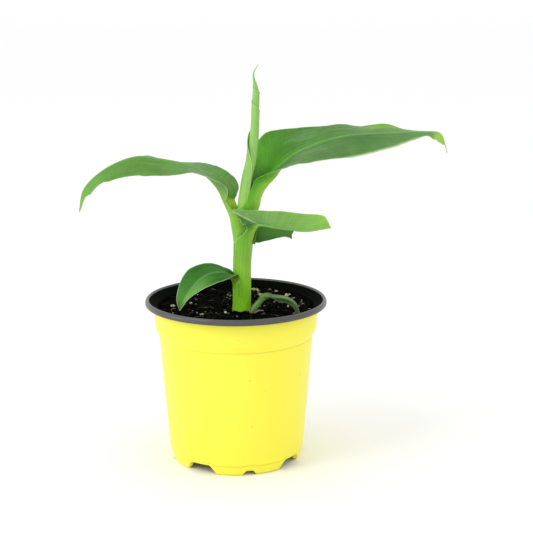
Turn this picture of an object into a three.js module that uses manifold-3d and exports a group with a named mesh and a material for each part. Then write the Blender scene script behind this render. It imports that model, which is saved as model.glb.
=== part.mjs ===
// A young banana plant in a round nursery pot, life size in millimetres.
// The origin is the middle of the whole plant's extent, on the ground. +Z is up and -Y is the front.
import * as THREE from "three";
import { mergeVertices } from "three/addons/utils/BufferGeometryUtils.js";
import Module from "manifold-3d";

const wasm = await Module();
wasm.setup();

// Clear gap kept between two pieces that touch.
const GAP = 0.3;

// The pot's axis stands this far from the origin. All sizes below are measured from the pot's axis.
const POT_AXIS_X = -19.5;

// Pot, outside.
const POT_FOOT_RADIUS = 42.9;
const POT_FOOT_CHAMFER = 1.2;
const POT_SEAM_RADIUS = 45;
const POT_SEAM_HEIGHT = 8.6;
const POT_GROOVE_RADIUS = 51.4;
const POT_GROOVE_HEIGHT = 85.5;
const POT_COLLAR_RADIUS = 53.7;
const POT_COLLAR_HEIGHT = 90;
const POT_COLLAR_TOP_RADIUS = 54.8;
const POT_COLLAR_TOP_HEIGHT = 105.4;
const POT_WALL = 1.2;
const POT_FOOT_WALL = 3.2;
const POT_FLOOR_BOTTOM = 6.6;
const POT_FLOOR_TOP = 8;
const POT_SEGMENTS = 48;

// Feet: four pairs, with a wide gap between pairs and a small notch within a pair.
const FOOT_PAIRS = 4;
const FOOT_PAIR_TURN = 11.4;
const FOOT_GAP_TOP_ANGLE = 17;
const FOOT_GAP_BOTTOM_ANGLE = 33;
const FOOT_GAP_HEIGHT = 6.2;
const FOOT_NOTCH_TOP_ANGLE = 5;
const FOOT_NOTCH_BOTTOM_ANGLE = 14;
const FOOT_NOTCH_HEIGHT = 3;

// Drain holes in the raised floor.
const DRAIN_HOLES = 8;
const DRAIN_RADIUS = 3.5;
const DRAIN_RING_RADIUS = 30;

// Dark lining with its rolled rim.
const LINING_WALL = 1;
const LINING_BOTTOM = 12;
const RIM_OUTER_RADIUS = 60.4;
const RIM_BOTTOM = 105.7;
const RIM_TOP = 109.6;
const RIM_INNER_RADIUS = 56.8;

// Soil.
const SOIL_BOTTOM = POT_FLOOR_TOP + GAP;
const SOIL_LEVEL = 101.7;
const SOIL_SEAT_RADIUS = 11;
const SOIL_BACK_RISE = 2.4;
const SOIL_LUMP = 0.7;
const SOIL_RINGS = 8;
const SOIL_SEGMENTS = 32;

// Trunk: the false stem of wrapped leaf sheaths. Each list is [height, size].
const TRUNK_BOTTOM = SOIL_LEVEL + GAP;
const TRUNK_TOP = 171;
const TRUNK_CENTRE_X = [[102, 3.6], [145, 4.2], [156, 4.2], [171, 3.6]];
const TRUNK_CENTRE_Y = [[102, -4], [145, -4], [171, -3.5]];
const TRUNK_HALF_WIDTH = [[102, 7.2], [103.6, 6.6], [107, 6.3], [125, 6.2], [143, 6.2],
  [154, 7.4], [163, 8.8], [171, 10.9]];
const TRUNK_HALF_DEPTH = [[102, 7], [103.6, 6.5], [107, 6.2], [125, 6.1], [171, 5.6]];
const TRUNK_SEGMENTS = 24;
const TRUNK_LEVELS = 18;

// Leaf sheets.
const LONG_LEAF_THICK = 1.5;
const SHORT_LEAF_THICK = 1.2;

// Each leaf has a midrib through a few points, the side its near half faces (degrees from +X),
// and for each half the width, lift above level, curl and backward sweep along its length.
const LEFT_LEAF = {
  side: -90,
  thick: LONG_LEAF_THICK,
  midrib: [[-7.5, -4, 174], [-19, -5, 191], [-31, -7, 199.5], [-50, -10, 203.5],
    [-65, -13, 205.2], [-83.5, -16, 199.5], [-96.3, -19, 186.5], [-100, -20.5, 171.5]],
  near: {
    width: [[0, 6], [0.1, 9], [0.17, 12], [0.3, 13], [0.47, 15.5], [0.6, 16.5], [0.76, 12],
      [0.84, 6.5], [0.92, 4], [1, 0.6]],
    lift: [[0, 72], [0.1, 72], [0.17, 22], [0.24, 2], [0.32, -18], [0.47, -38], [1, -38]],
    sweep: [[0, 62], [0.1, 35], [0.22, 0], [1, 0]],
  },
  far: {
    width: [[0, 10], [0.1, 17], [0.25, 14], [0.5, 15], [0.6, 15], [0.77, 10], [0.9, 4], [1, 0.6]],
    lift: [[0, 60], [0.1, 60], [0.17, 36], [0.24, 7], [0.32, -9], [0.5, -12], [1, -8]],
    sweep: [[0, 42], [0.1, 28], [0.22, 0], [1, 0]],
  },
  stalk: [[-2.3, -4, 169.5], [-4, -4, 173.5], [-10.8, -4.5, 184], [-18.2, -5.2, 191.5],
    [-25.2, -6.1, 195.8], [-33, -7.5, 198.6], [-50, -10.2, 202.3], [-65, -13, 204.3],
    [-83.3, -16, 198.7], [-95.8, -19, 186], [-99.2, -20.3, 173.5]],
  stalkRadius: [[0, 4.2], [0.04, 4.1], [0.13, 3.4], [0.22, 2.8], [0.28, 2.3], [0.35, 1.9],
    [0.5, 1.3], [1, 0.8]],
};
const RIGHT_LEAF = {
  side: -90,
  thick: LONG_LEAF_THICK,
  midrib: [[12, 1, 184], [25, 2, 195], [43, 4, 208], [70, 6, 216.5], [100, 8, 218.5],
    [127, 10, 219], [135.5, 10, 217.5], [139, 10, 209]],
  near: {
    width: [[0, 3], [0.08, 8], [0.19, 13], [0.28, 17], [0.48, 21], [0.6, 19.5], [0.7, 16],
      [0.8, 12], [0.9, 6.4], [0.95, 6.4], [1, 0.8]],
    lift: [[0, 40], [0.04, 38], [0.12, 2], [0.19, -14], [0.28, -28], [0.48, -33], [0.8, -30],
      [1, -24]],
    sweep: [[0, 0], [1, 0]],
  },
  far: {
    width: [[0, 3], [0.04, 13], [0.08, 21], [0.12, 27], [0.19, 29.5], [0.28, 25.5], [0.48, 19],
      [0.6, 17], [0.7, 14], [0.8, 9], [0.9, 4], [1, 0.6]],
    lift: [[0, 42], [0.12, 43], [0.19, 43], [0.28, 32], [0.48, 18], [0.58, 9], [0.7, 14],
      [0.8, -2], [1, 0]],
    sweep: [[0, 0], [1, 0]],
  },
  stalk: [[10.2, -2, 169.5], [12.5, -1.5, 177.8], [14.9, -0.9, 183.9], [18.9, 0, 188.1],
    [23.8, 0.8, 192.3], [29.9, 1.9, 197.6], [43.4, 3.8, 206.6], [70.2, 5.8, 215.2], [100, 7.8, 217.6],
    [127, 9.8, 218.2], [135, 9.9, 216.7], [138, 9.9, 210.4]],
  stalkRadius: [[0, 3.5], [0.06, 3.3], [0.14, 2.9], [0.18, 2.6], [0.24, 2.3], [0.34, 1.7],
    [0.5, 1.2], [1, 0.8]],
};
const FRONT_LEAF = {
  side: -110,
  thick: SHORT_LEAF_THICK,
  midrib: [[10.3, -12, 158.4], [17, -15, 160.8], [30, -19, 159.2], [45, -23, 158.4],
    [55, -26, 160.4], [61, -28, 161.8]],
  near: {
    width: [[0, 17], [0.07, 20], [0.14, 22], [0.2, 17.5], [0.28, 14.7], [0.36, 13.6],
      [0.48, 13.3], [0.62, 12.7], [0.78, 11.5], [0.9, 9.8], [0.96, 8], [1, 1]],
    lift: [[0, 88], [0.14, 88], [0.3, 80], [1, 78]],
    curl: [[0, 0.5], [0.2, 12], [1, 18]],
    sweep: [[0, 32], [0.07, 37], [0.14, 61], [0.2, 61], [0.28, 49], [0.36, 34], [0.48, 19],
      [0.62, 9], [0.78, -6], [1, -4]],
  },
  far: {
    from: 0.1,
    to: 0.53,
    width: [[0.1, 15], [0.17, 13.9], [0.26, 10.4], [0.36, 6.8], [0.42, 5.5], [0.46, 6.6], [0.53, 3]],
    lift: [[0.1, -62], [0.52, -66]],
    sweep: [[0.1, 35], [0.17, 14], [0.26, 4], [0.36, -2], [0.42, -9], [0.46, -20], [0.53, 30]],
  },
  stalk: [[5, -5.4, 141], [6, -6.6, 148.5], [9, -9.4, 156], [13.6, -12.6, 160.4],
    [19, -15.4, 160.7], [30, -19, 158.6], [45, -23, 157.9],
    [55, -26, 159.9], [60, -27.7, 161.2]],
  stalkRadius: [[0, 4.6], [0.1, 5.4], [0.22, 4.6], [0.32, 3.4], [0.41, 2.4], [0.57, 1.4], [1, 0.8]],
};
const LOW_LEAF = {
  side: -70,
  thick: SHORT_LEAF_THICK,
  midrib: [[0, -11, 127], [-8, -13, 129], [-17, -16, 129], [-26, -19, 124], [-33, -22, 115],
    [-36.5, -24, 107]],
  near: {
    width: [[0, 2], [0.15, 6], [0.35, 9.5], [0.6, 7.2], [0.8, 3.2], [1, 0.6]],
    lift: [[0, -30], [1, -32]],
    sweep: [[0, 0], [1, 0]],
  },
  far: {
    width: [[0, 2], [0.15, 7.4], [0.35, 11.2], [0.6, 11.3], [0.8, 7.4], [0.93, 3.8], [1, 0.6]],
    lift: [[0, 20], [0.35, 28], [0.6, 36], [1, 40]],
    sweep: [[0, 0], [1, 0]],
  },
  stalk: [[3.4, -6, 112], [2.4, -8.4, 118], [0.2, -10.4, 124], [-3, -11.8, 126.6],
    [-8.4, -13.2, 127.9], [-17, -16, 128.1], [-25.7, -19, 123.3], [-32.4, -22, 114.8], [-35.7, -23.8, 108]],
  stalkRadius: [[0, 3.4], [0.15, 3.2], [0.25, 2.5], [0.4, 1.5], [0.6, 1], [1, 0.8]],
};
const WITHERED_LEAF = {
  side: -90,
  thick: SHORT_LEAF_THICK,
  midrib: [[11, -11, 104], [13.2, -11, 108.4], [18, -11, 112.2], [26, -11, 113.2], [34, -11, 112],
    [38.6, -11, 108.6], [40.8, -11, 104.2]],
  near: {
    width: [[0, 2], [0.3, 3.4], [0.7, 4.2], [0.9, 3], [1, 0.8]],
    lift: [[0, -10], [1, -20]],
    sweep: [[0, 0], [1, 0]],
  },
  far: {
    width: [[0, 2], [0.3, 3.8], [0.7, 4.4], [0.9, 3], [1, 0.8]],
    lift: [[0, 12], [1, 4]],
    sweep: [[0, 0], [1, 0]],
  },
  stalk: [[7, -8.6, 103.5], [9.6, -10.6, 103.9], [11.4, -11, 105], [13.6, -11, 108.4],
    [18.2, -11, 111.8], [26, -11, 112.8], [33.8, -11, 111.5], [38, -11, 108.4],
    [40, -11, 104.8]],
  stalkRadius: [[0, 1.5], [0.3, 1.5], [0.5, 1], [1, 0.8]],
};

// The newest leaf, still rolled into a cigar.
const ROLLED_LEAF = {
  side: -90,
  stalk: [[4.6, -4.5, 166], [4.9, -4.5, 173], [7.6, -4, 189.4], [10, -3.4, 201], [11.4, -3, 211],
    [12.7, -2, 224.5], [13.1, -1, 236], [13.4, 0, 247.5], [12, 0, 255.5], [12.4, 0, 259.5],
    [14.9, 0, 263.5]],
  stalkRadius: [[0, 3.8], [0.24, 3.8], [0.36, 3.9], [0.47, 3.4], [0.6, 2.7], [0.72, 2.5],
    [0.83, 2.2], [0.88, 1.3], [0.93, 0.7], [1, 0.5]],
};

// Smooth value of a list of [position, value] pairs, without overshoot.
function track(keys) {
  const count = keys.length;
  const slopes = [];
  const tangents = [];
  for (let i = 0; i < count - 1; i += 1) {
    slopes.push((keys[i + 1][1] - keys[i][1]) / (keys[i + 1][0] - keys[i][0]));
  }
  for (let i = 0; i < count; i += 1) {
    if (i === 0 || i === count - 1) {
      tangents.push(slopes[Math.min(i, count - 2)]);
    } else if (slopes[i - 1] * slopes[i] <= 0) {
      tangents.push(0);
    } else {
      const before = keys[i][0] - keys[i - 1][0];
      const after = keys[i + 1][0] - keys[i][0];
      const weight = (2 * after + before) / slopes[i - 1] + (after + 2 * before) / slopes[i];
      tangents.push((3 * (before + after)) / weight);
    }
  }
  return (position) => {
    const at = Math.min(Math.max(position, keys[0][0]), keys[count - 1][0]);
    let i = 0;
    while (i < count - 2 && at > keys[i + 1][0]) i += 1;
    const span = keys[i + 1][0] - keys[i][0];
    const s = (at - keys[i][0]) / span;
    const s2 = s * s;
    const s3 = s2 * s;
    return (2 * s3 - 3 * s2 + 1) * keys[i][1] + (s3 - 2 * s2 + s) * span * tangents[i]
      + (3 * s2 - 2 * s3) * keys[i + 1][1] + (s3 - s2) * span * tangents[i + 1];
  };
}

// Smooth path through points, measured evenly by its length from 0 to 1.
function route(points) {
  const steps = 400;
  const knots = points.map((p) => new THREE.Vector3(...p));
  const last = knots.length - 1;
  knots.unshift(knots[0].clone().multiplyScalar(2).sub(knots[1]));
  knots.push(knots[last + 1].clone().multiplyScalar(2).sub(knots[last]));
  const places = [];
  const lengths = [0];
  for (let k = 0; k <= steps; k += 1) {
    const along = (k / steps) * last;
    const i = Math.min(Math.floor(along), last - 1);
    const s = along - i;
    const startPull = knots[i + 2].clone().sub(knots[i]).multiplyScalar(0.5);
    const endPull = knots[i + 3].clone().sub(knots[i + 1]).multiplyScalar(0.5);
    const place = knots[i + 1].clone().multiplyScalar(2 * s ** 3 - 3 * s ** 2 + 1);
    place.addScaledVector(startPull, s ** 3 - 2 * s ** 2 + s);
    place.addScaledVector(knots[i + 2], 3 * s ** 2 - 2 * s ** 3);
    place.addScaledVector(endPull, s ** 3 - s ** 2);
    if (k > 0) lengths.push(lengths[k - 1] + place.distanceTo(places[k - 1]));
    places.push(place);
  }
  return (u) => {
    const wanted = Math.min(Math.max(u, 0), 1) * lengths[steps];
    let low = 0;
    let high = steps;
    while (high - low > 1) {
      const middle = (low + high) >> 1;
      if (lengths[middle] <= wanted) low = middle;
      else high = middle;
    }
    const s = (wanted - lengths[low]) / (lengths[high] - lengths[low]);
    return places[low].clone().lerp(places[high], s);
  };
}

// Place, direction, level side and upward direction at one position of a path.
function station(path, u, side) {
  const step = 0.002;
  const place = path(u);
  const along = path(Math.min(u + step, 1)).sub(path(Math.max(u - step, 0))).normalize();
  const turn = THREE.MathUtils.degToRad(side);
  const across = new THREE.Vector3(Math.cos(turn), Math.sin(turn), 0);
  const reach = path(1).sub(path(0));
  const hand = Math.sign(across.y * reach.x - across.x * reach.y);
  across.addScaledVector(along, -across.dot(along)).normalize();
  const up = new THREE.Vector3().crossVectors(along, across).multiplyScalar(hand);
  return { place, along, across, up };
}

// A solid of its own from rings of points that share their order, closed by a fan at each end.
function ringSolid(rings) {
  const size = rings[0].length;
  const points = rings.flat();
  const faces = [];
  for (let i = 0; i < rings.length - 1; i += 1) {
    for (let j = 0; j < size; j += 1) {
      const a = i * size + j;
      const b = i * size + ((j + 1) % size);
      faces.push(a, b, b + size, a, b + size, a + size);
    }
  }
  for (const [i, turned] of [[0, true], [rings.length - 1, false]]) {
    const middle = new THREE.Vector3();
    for (const point of rings[i]) middle.addScaledVector(point, 1 / size);
    points.push(middle);
    const hub = points.length - 1;
    for (let j = 0; j < size; j += 1) {
      const a = i * size + j;
      const b = i * size + ((j + 1) % size);
      if (turned) faces.push(hub, b, a);
      else faces.push(hub, a, b);
    }
  }
  return bodyOf(points, faces);
}

// Geometry from points and faces, turned so that its faces point out.
function bodyOf(points, faces) {
  let volume = 0;
  for (let i = 0; i < faces.length; i += 3) {
    const [a, b, c] = [points[faces[i]], points[faces[i + 1]], points[faces[i + 2]]];
    volume += a.dot(new THREE.Vector3().crossVectors(b, c));
  }
  const order = volume < 0 ? faces.slice().reverse() : faces;
  const positions = points.flatMap((p) => p.toArray());
  const geometry = new THREE.BufferGeometry();
  geometry.setAttribute("position", new THREE.Float32BufferAttribute(positions, 3));
  geometry.setIndex(order);
  return geometry;
}

// Round rod along a path, its radius following a track.
function rod(points, radii, side, grow, levels, segments) {
  const path = route(points);
  const radius = track(radii);
  const rings = [];
  for (let i = 0; i <= levels; i += 1) {
    const u = i / levels;
    const { place, across, up } = station(path, u, side);
    const ring = [];
    for (let j = 0; j < segments; j += 1) {
      const turn = (j / segments) * 2 * Math.PI;
      const reach = radius(u) + grow;
      const point = place.clone();
      point.addScaledVector(across, reach * Math.cos(turn));
      point.addScaledVector(up, reach * Math.sin(turn));
      ring.push(point);
    }
    rings.push(ring);
  }
  return ringSolid(rings);
}

// One half of a leaf blade: a sheet that leaves the midrib at its lift and curls as it goes.
function sheet(leaf, half, hand, levels, strips) {
  const path = route(leaf.midrib);
  const width = track(half.width);
  const lift = track(half.lift);
  const curl = track(half.curl ?? [[0, 0.5], [1, 0.5]]);
  const sweep = track(half.sweep);
  const from = half.from ?? 0;
  const to = half.to ?? 1;
  const surface = [];
  for (let i = 0; i <= levels; i += 1) {
    const u = from + (to - from) * (i / levels);
    const { place, along, across, up } = station(path, u, leaf.side);
    const a = THREE.MathUtils.degToRad(lift(u));
    const c = THREE.MathUtils.degToRad(curl(u));
    const back = THREE.MathUtils.degToRad(sweep(u));
    const row = [];
    for (let j = 0; j <= strips; j += 1) {
      const v = j / strips;
      const out = (hand * (Math.sin(a + c * v) - Math.sin(a))) / c;
      const rise = (Math.cos(a) - Math.cos(a + c * v)) / c;
      const point = place.clone();
      point.addScaledVector(across, width(u) * Math.cos(back) * out);
      point.addScaledVector(up, width(u) * Math.cos(back) * rise);
      point.addScaledVector(along, -width(u) * Math.sin(back) * v);
      row.push(point);
    }
    surface.push(row);
  }
  const points = [];
  for (const faceSide of [1, -1]) {
    for (let i = 0; i <= levels; i += 1) {
      for (let j = 0; j <= strips; j += 1) {
        const du = surface[Math.min(i + 1, levels)][j].clone().sub(surface[Math.max(i - 1, 0)][j]);
        const dv = surface[i][Math.min(j + 1, strips)].clone().sub(surface[i][Math.max(j - 1, 0)]);
        const normal = du.cross(dv).normalize();
        points.push(surface[i][j].clone().addScaledVector(normal, (faceSide * leaf.thick) / 2));
      }
    }
  }
  const rowSize = strips + 1;
  const layer = (levels + 1) * rowSize;
  const faces = [];
  for (let i = 0; i < levels; i += 1) {
    for (let j = 0; j < strips; j += 1) {
      const a = i * rowSize + j;
      const b = a + 1;
      const c = b + rowSize;
      const d = a + rowSize;
      faces.push(a, d, c, a, c, b);
      faces.push(a + layer, c + layer, d + layer, a + layer, b + layer, c + layer);
    }
  }
  const edge = [];
  for (let i = 0; i < levels; i += 1) edge.push(i * rowSize);
  for (let j = 0; j < strips; j += 1) edge.push(levels * rowSize + j);
  for (let i = levels; i > 0; i -= 1) edge.push(i * rowSize + strips);
  for (let j = strips; j > 0; j -= 1) edge.push(j);
  for (let k = 0; k < edge.length; k += 1) {
    const a = edge[k];
    const b = edge[(k + 1) % edge.length];
    faces.push(a, a + layer, b + layer, a, b + layer, b);
  }
  return bodyOf(points, faces);
}

// Elliptical trunk, flat at both ends, grown outward by a clearance.
function trunk(grow) {
  const centreX = track(TRUNK_CENTRE_X);
  const centreY = track(TRUNK_CENTRE_Y);
  const halfWidth = track(TRUNK_HALF_WIDTH);
  const halfDepth = track(TRUNK_HALF_DEPTH);
  const rings = [];
  for (let i = 0; i <= TRUNK_LEVELS; i += 1) {
    const rise = (i / TRUNK_LEVELS) ** 1.25;
    const z = THREE.MathUtils.lerp(TRUNK_BOTTOM - grow, TRUNK_TOP + grow, rise);
    const ring = [];
    for (let j = 0; j < TRUNK_SEGMENTS; j += 1) {
      const turn = (j / TRUNK_SEGMENTS) * 2 * Math.PI;
      const x = centreX(z) + (halfWidth(z) + grow) * Math.cos(turn);
      const y = centreY(z) + (halfDepth(z) + grow) * Math.sin(turn);
      ring.push(new THREE.Vector3(x, y, z));
    }
    rings.push(ring);
  }
  return ringSolid(rings);
}

// Body of a profile turned about the pot's axis. A profile that stays off the axis is closed on itself.
function turned(profile) {
  const outline = profile.map(([r, z]) => new THREE.Vector2(r, z));
  if (outline[0].x > 0) outline.push(outline[0].clone());
  const geometry = new THREE.LatheGeometry(outline, POT_SEGMENTS);
  geometry.rotateX(Math.PI / 2);
  return geometry;
}

// Wedge that cuts a gap with sloped sides out of the foot ring.
function footGap(turn, bottomAngle, topAngle, height) {
  const bottom = POT_FOOT_RADIUS * Math.sin(THREE.MathUtils.degToRad(bottomAngle / 2));
  const top = POT_FOOT_RADIUS * Math.sin(THREE.MathUtils.degToRad(topAngle / 2));
  const shape = new THREE.Shape();
  shape.moveTo(-bottom, -1);
  shape.lineTo(bottom, -1);
  shape.lineTo(bottom, 0);
  shape.lineTo(top, height);
  shape.lineTo(-top, height);
  shape.lineTo(-bottom, 0);
  shape.closePath();
  const geometry = new THREE.ExtrudeGeometry(shape, { depth: 20, bevelEnabled: false });
  geometry.rotateX(Math.PI / 2);
  geometry.translate(0, -POT_FOOT_RADIUS + 13, 0);
  geometry.rotateZ(THREE.MathUtils.degToRad(turn));
  return geometry;
}

// Manifold solid from a three.js geometry.
function solid(geometry) {
  const plain = geometry.clone();
  plain.deleteAttribute("normal");
  plain.deleteAttribute("uv");
  const merged = mergeVertices(plain, 1e-4);
  const index = merged.index.array;
  const corners = [];
  for (let i = 0; i < index.length; i += 3) {
    const [a, b, c] = [index[i], index[i + 1], index[i + 2]];
    if (a !== b && b !== c && c !== a) corners.push(a, b, c);
  }
  const vertProperties = new Float32Array(merged.attributes.position.array);
  const triVerts = new Uint32Array(corners);
  const body = new wasm.Mesh({ numProp: 3, vertProperties, triVerts });
  return new wasm.Manifold(body);
}

// three.js mesh from a manifold solid.
function piece(name, body, colour, roughness) {
  const { numProp, vertProperties, triVerts } = body.getMesh();
  const positions = [];
  for (let i = 0; i < vertProperties.length; i += numProp) {
    positions.push(vertProperties[i], vertProperties[i + 1], vertProperties[i + 2]);
  }
  const geometry = new THREE.BufferGeometry();
  geometry.setAttribute("position", new THREE.Float32BufferAttribute(positions, 3));
  geometry.setIndex(Array.from(triVerts));
  geometry.translate(POT_AXIS_X, 0, 0);
  const material = new THREE.MeshStandardMaterial({ color: colour, roughness, metalness: 0 });
  const mesh = new THREE.Mesh(geometry, material);
  mesh.name = name;
  return mesh;
}

// Keep the largest body of a cut solid.
function largest(body) {
  const parts = body.decompose();
  parts.sort((a, b) => b.volume() - a.volume());
  return parts[0];
}

function potBody() {
  const slope = (POT_GROOVE_RADIUS - POT_SEAM_RADIUS) / (POT_GROOVE_HEIGHT - POT_SEAM_HEIGHT);
  const inner = (z) => POT_SEAM_RADIUS + slope * (z - POT_SEAM_HEIGHT) - POT_WALL;
  let body = solid(turned([
    [0, POT_FLOOR_BOTTOM],
    [POT_FOOT_RADIUS - POT_FOOT_WALL + 1, POT_FLOOR_BOTTOM],
    [POT_FOOT_RADIUS - POT_FOOT_WALL, 0],
    [POT_FOOT_RADIUS - POT_FOOT_CHAMFER, 0],
    [POT_FOOT_RADIUS, POT_FOOT_CHAMFER],
    [POT_SEAM_RADIUS, POT_SEAM_HEIGHT],
    [POT_GROOVE_RADIUS, POT_GROOVE_HEIGHT],
    [POT_COLLAR_RADIUS, POT_COLLAR_HEIGHT],
    [POT_COLLAR_TOP_RADIUS, POT_COLLAR_TOP_HEIGHT],
    [POT_COLLAR_TOP_RADIUS - POT_WALL, POT_COLLAR_TOP_HEIGHT],
    [POT_COLLAR_RADIUS - POT_WALL, POT_COLLAR_HEIGHT + 0.4],
    [inner(POT_GROOVE_HEIGHT), POT_GROOVE_HEIGHT + 0.4],
    [inner(POT_FLOOR_TOP), POT_FLOOR_TOP],
    [0, POT_FLOOR_TOP],
  ]));
  const pairStep = 360 / FOOT_PAIRS;
  for (let k = 0; k < FOOT_PAIRS; k += 1) {
    const middle = FOOT_PAIR_TURN + k * pairStep;
    const between = middle + pairStep / 2;
    const gap = footGap(between, FOOT_GAP_BOTTOM_ANGLE, FOOT_GAP_TOP_ANGLE, FOOT_GAP_HEIGHT);
    const notch = footGap(middle, FOOT_NOTCH_BOTTOM_ANGLE, FOOT_NOTCH_TOP_ANGLE, FOOT_NOTCH_HEIGHT);
    body = body.subtract(solid(gap)).subtract(solid(notch));
  }
  for (let k = 0; k < DRAIN_HOLES; k += 1) {
    const turn = ((k + 0.5) / DRAIN_HOLES) * 2 * Math.PI;
    const x = DRAIN_RING_RADIUS * Math.cos(turn);
    const y = DRAIN_RING_RADIUS * Math.sin(turn);
    const drill = new THREE.CylinderGeometry(DRAIN_RADIUS, DRAIN_RADIUS, 8, 12);
    drill.rotateX(Math.PI / 2);
    drill.translate(x, y, POT_FLOOR_TOP);
    body = body.subtract(solid(drill));
  }
  return body;
}

// Radius of the yellow wall's inside at a height.
function wallInside(z) {
  const share = (z - POT_FLOOR_TOP) / (POT_GROOVE_HEIGHT - POT_FLOOR_TOP);
  return THREE.MathUtils.lerp(POT_SEAM_RADIUS, POT_GROOVE_RADIUS, share) - POT_WALL;
}

function liningBody() {
  const outer = (z) => wallInside(z) - GAP;
  const collarTop = POT_COLLAR_TOP_RADIUS - POT_WALL - GAP;
  return solid(turned([
    [outer(LINING_BOTTOM), LINING_BOTTOM],
    [outer(POT_GROOVE_HEIGHT) - 0.1, POT_GROOVE_HEIGHT],
    [POT_COLLAR_RADIUS - POT_WALL - GAP - 0.4, POT_COLLAR_HEIGHT + 1.6],
    [collarTop - 0.3, POT_COLLAR_TOP_HEIGHT],
    [collarTop, RIM_BOTTOM],
    [RIM_OUTER_RADIUS - 0.4, RIM_BOTTOM],
    [RIM_OUTER_RADIUS, RIM_BOTTOM + 0.5],
    [RIM_OUTER_RADIUS, RIM_TOP - 1.7],
    [RIM_OUTER_RADIUS - 0.5, RIM_TOP - 0.6],
    [RIM_OUTER_RADIUS - 1.5, RIM_TOP],
    [RIM_INNER_RADIUS + 0.9, RIM_TOP - 0.5],
    [RIM_INNER_RADIUS, RIM_TOP - 1.6],
    [collarTop - LINING_WALL - 0.1, POT_COLLAR_TOP_HEIGHT - 0.2],
    [collarTop - LINING_WALL - 0.4, POT_COLLAR_TOP_HEIGHT - 3],
    [POT_COLLAR_RADIUS - POT_WALL - GAP - LINING_WALL - 0.6, POT_COLLAR_HEIGHT + 1],
    [outer(POT_GROOVE_HEIGHT) - LINING_WALL - 0.1, POT_GROOVE_HEIGHT - 1],
    [outer(LINING_BOTTOM) - LINING_WALL, LINING_BOTTOM],
  ]));
}

// Height of the soil's surface: flat round the trunk, lumpy beyond and heaped to the back.
function soilHeight(x, y) {
  const out = Math.hypot(x - 3.6, y + 4);
  const fade = Math.min(Math.max((out - SOIL_SEAT_RADIUS) / 8, 0), 1);
  const heap = SOIL_BACK_RISE * Math.min(Math.max((y + 5) / 45, 0), 1);
  const broad = Math.sin(0.31 * x + 1.7) * Math.cos(0.27 * y);
  const fine = Math.sin(0.43 * y + 0.19 * x);
  return SOIL_LEVEL + fade * (heap + SOIL_LUMP * (broad + 0.6 * fine));
}

function soilBody() {
  const side = (z) => wallInside(Math.min(z, POT_GROOVE_HEIGHT)) - 2 * GAP - LINING_WALL - 0.3;
  const points = [];
  const faces = [];
  const bottomRadius = side(SOIL_BOTTOM) - 1;
  const topRadius = POT_COLLAR_RADIUS - POT_WALL - 2 * GAP - LINING_WALL - 0.4;
  const shoulder = POT_GROOVE_HEIGHT - 2;
  const levels = [[bottomRadius, SOIL_BOTTOM], [side(40), 40], [side(shoulder), shoulder],
    [topRadius - 0.4, POT_COLLAR_HEIGHT + 1]];
  points.push(new THREE.Vector3(0, 0, SOIL_BOTTOM));
  for (const [radius, z] of levels) {
    for (let j = 0; j < SOIL_SEGMENTS; j += 1) {
      const turn = (j / SOIL_SEGMENTS) * 2 * Math.PI;
      points.push(new THREE.Vector3(radius * Math.cos(turn), radius * Math.sin(turn), z));
    }
  }
  for (let i = 0; i <= SOIL_RINGS - 1; i += 1) {
    const radius = topRadius * (1 - i / SOIL_RINGS);
    for (let j = 0; j < SOIL_SEGMENTS; j += 1) {
      const turn = (j / SOIL_SEGMENTS) * 2 * Math.PI;
      const x = radius * Math.cos(turn);
      const y = radius * Math.sin(turn);
      points.push(new THREE.Vector3(x, y, soilHeight(x, y)));
    }
  }
  points.push(new THREE.Vector3(0, 0, soilHeight(0, 0)));
  const ringCount = levels.length + SOIL_RINGS;
  for (let j = 0; j < SOIL_SEGMENTS; j += 1) {
    const next = (j + 1) % SOIL_SEGMENTS;
    faces.push(0, 1 + next, 1 + j);
    for (let i = 0; i < ringCount - 1; i += 1) {
      const a = 1 + i * SOIL_SEGMENTS + j;
      const b = 1 + i * SOIL_SEGMENTS + next;
      faces.push(a, b, b + SOIL_SEGMENTS, a, b + SOIL_SEGMENTS, a + SOIL_SEGMENTS);
    }
    const lastRing = 1 + (ringCount - 1) * SOIL_SEGMENTS;
    faces.push(lastRing + j, lastRing + next, points.length - 1);
  }
  return solid(bodyOf(points, faces));
}

// A whole leaf: its stalk and midrib rod with the two halves of the blade.
function leafBody(leaf, levels, strips, neighbours) {
  let body = solid(rod(leaf.stalk, leaf.stalkRadius, leaf.side, 0, levels, 8));
  if (leaf.near) body = body.add(solid(sheet(leaf, leaf.near, 1, levels, strips)));
  if (leaf.far) body = body.add(solid(sheet(leaf, leaf.far, -1, levels, strips)));
  for (const neighbour of neighbours) body = body.subtract(neighbour);
  return largest(body);
}

function stalkRoom(leaf) {
  return solid(rod(leaf.stalk, leaf.stalkRadius, leaf.side, GAP, 28, 8));
}

const plant = new THREE.Group();
const trunkRoom = solid(trunk(GAP));
const rolledRoom = stalkRoom(ROLLED_LEAF);
const rightRoom = stalkRoom(RIGHT_LEAF);
const leftRoom = stalkRoom(LEFT_LEAF);
const behindFront = [trunkRoom, rolledRoom, rightRoom, leftRoom];

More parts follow.
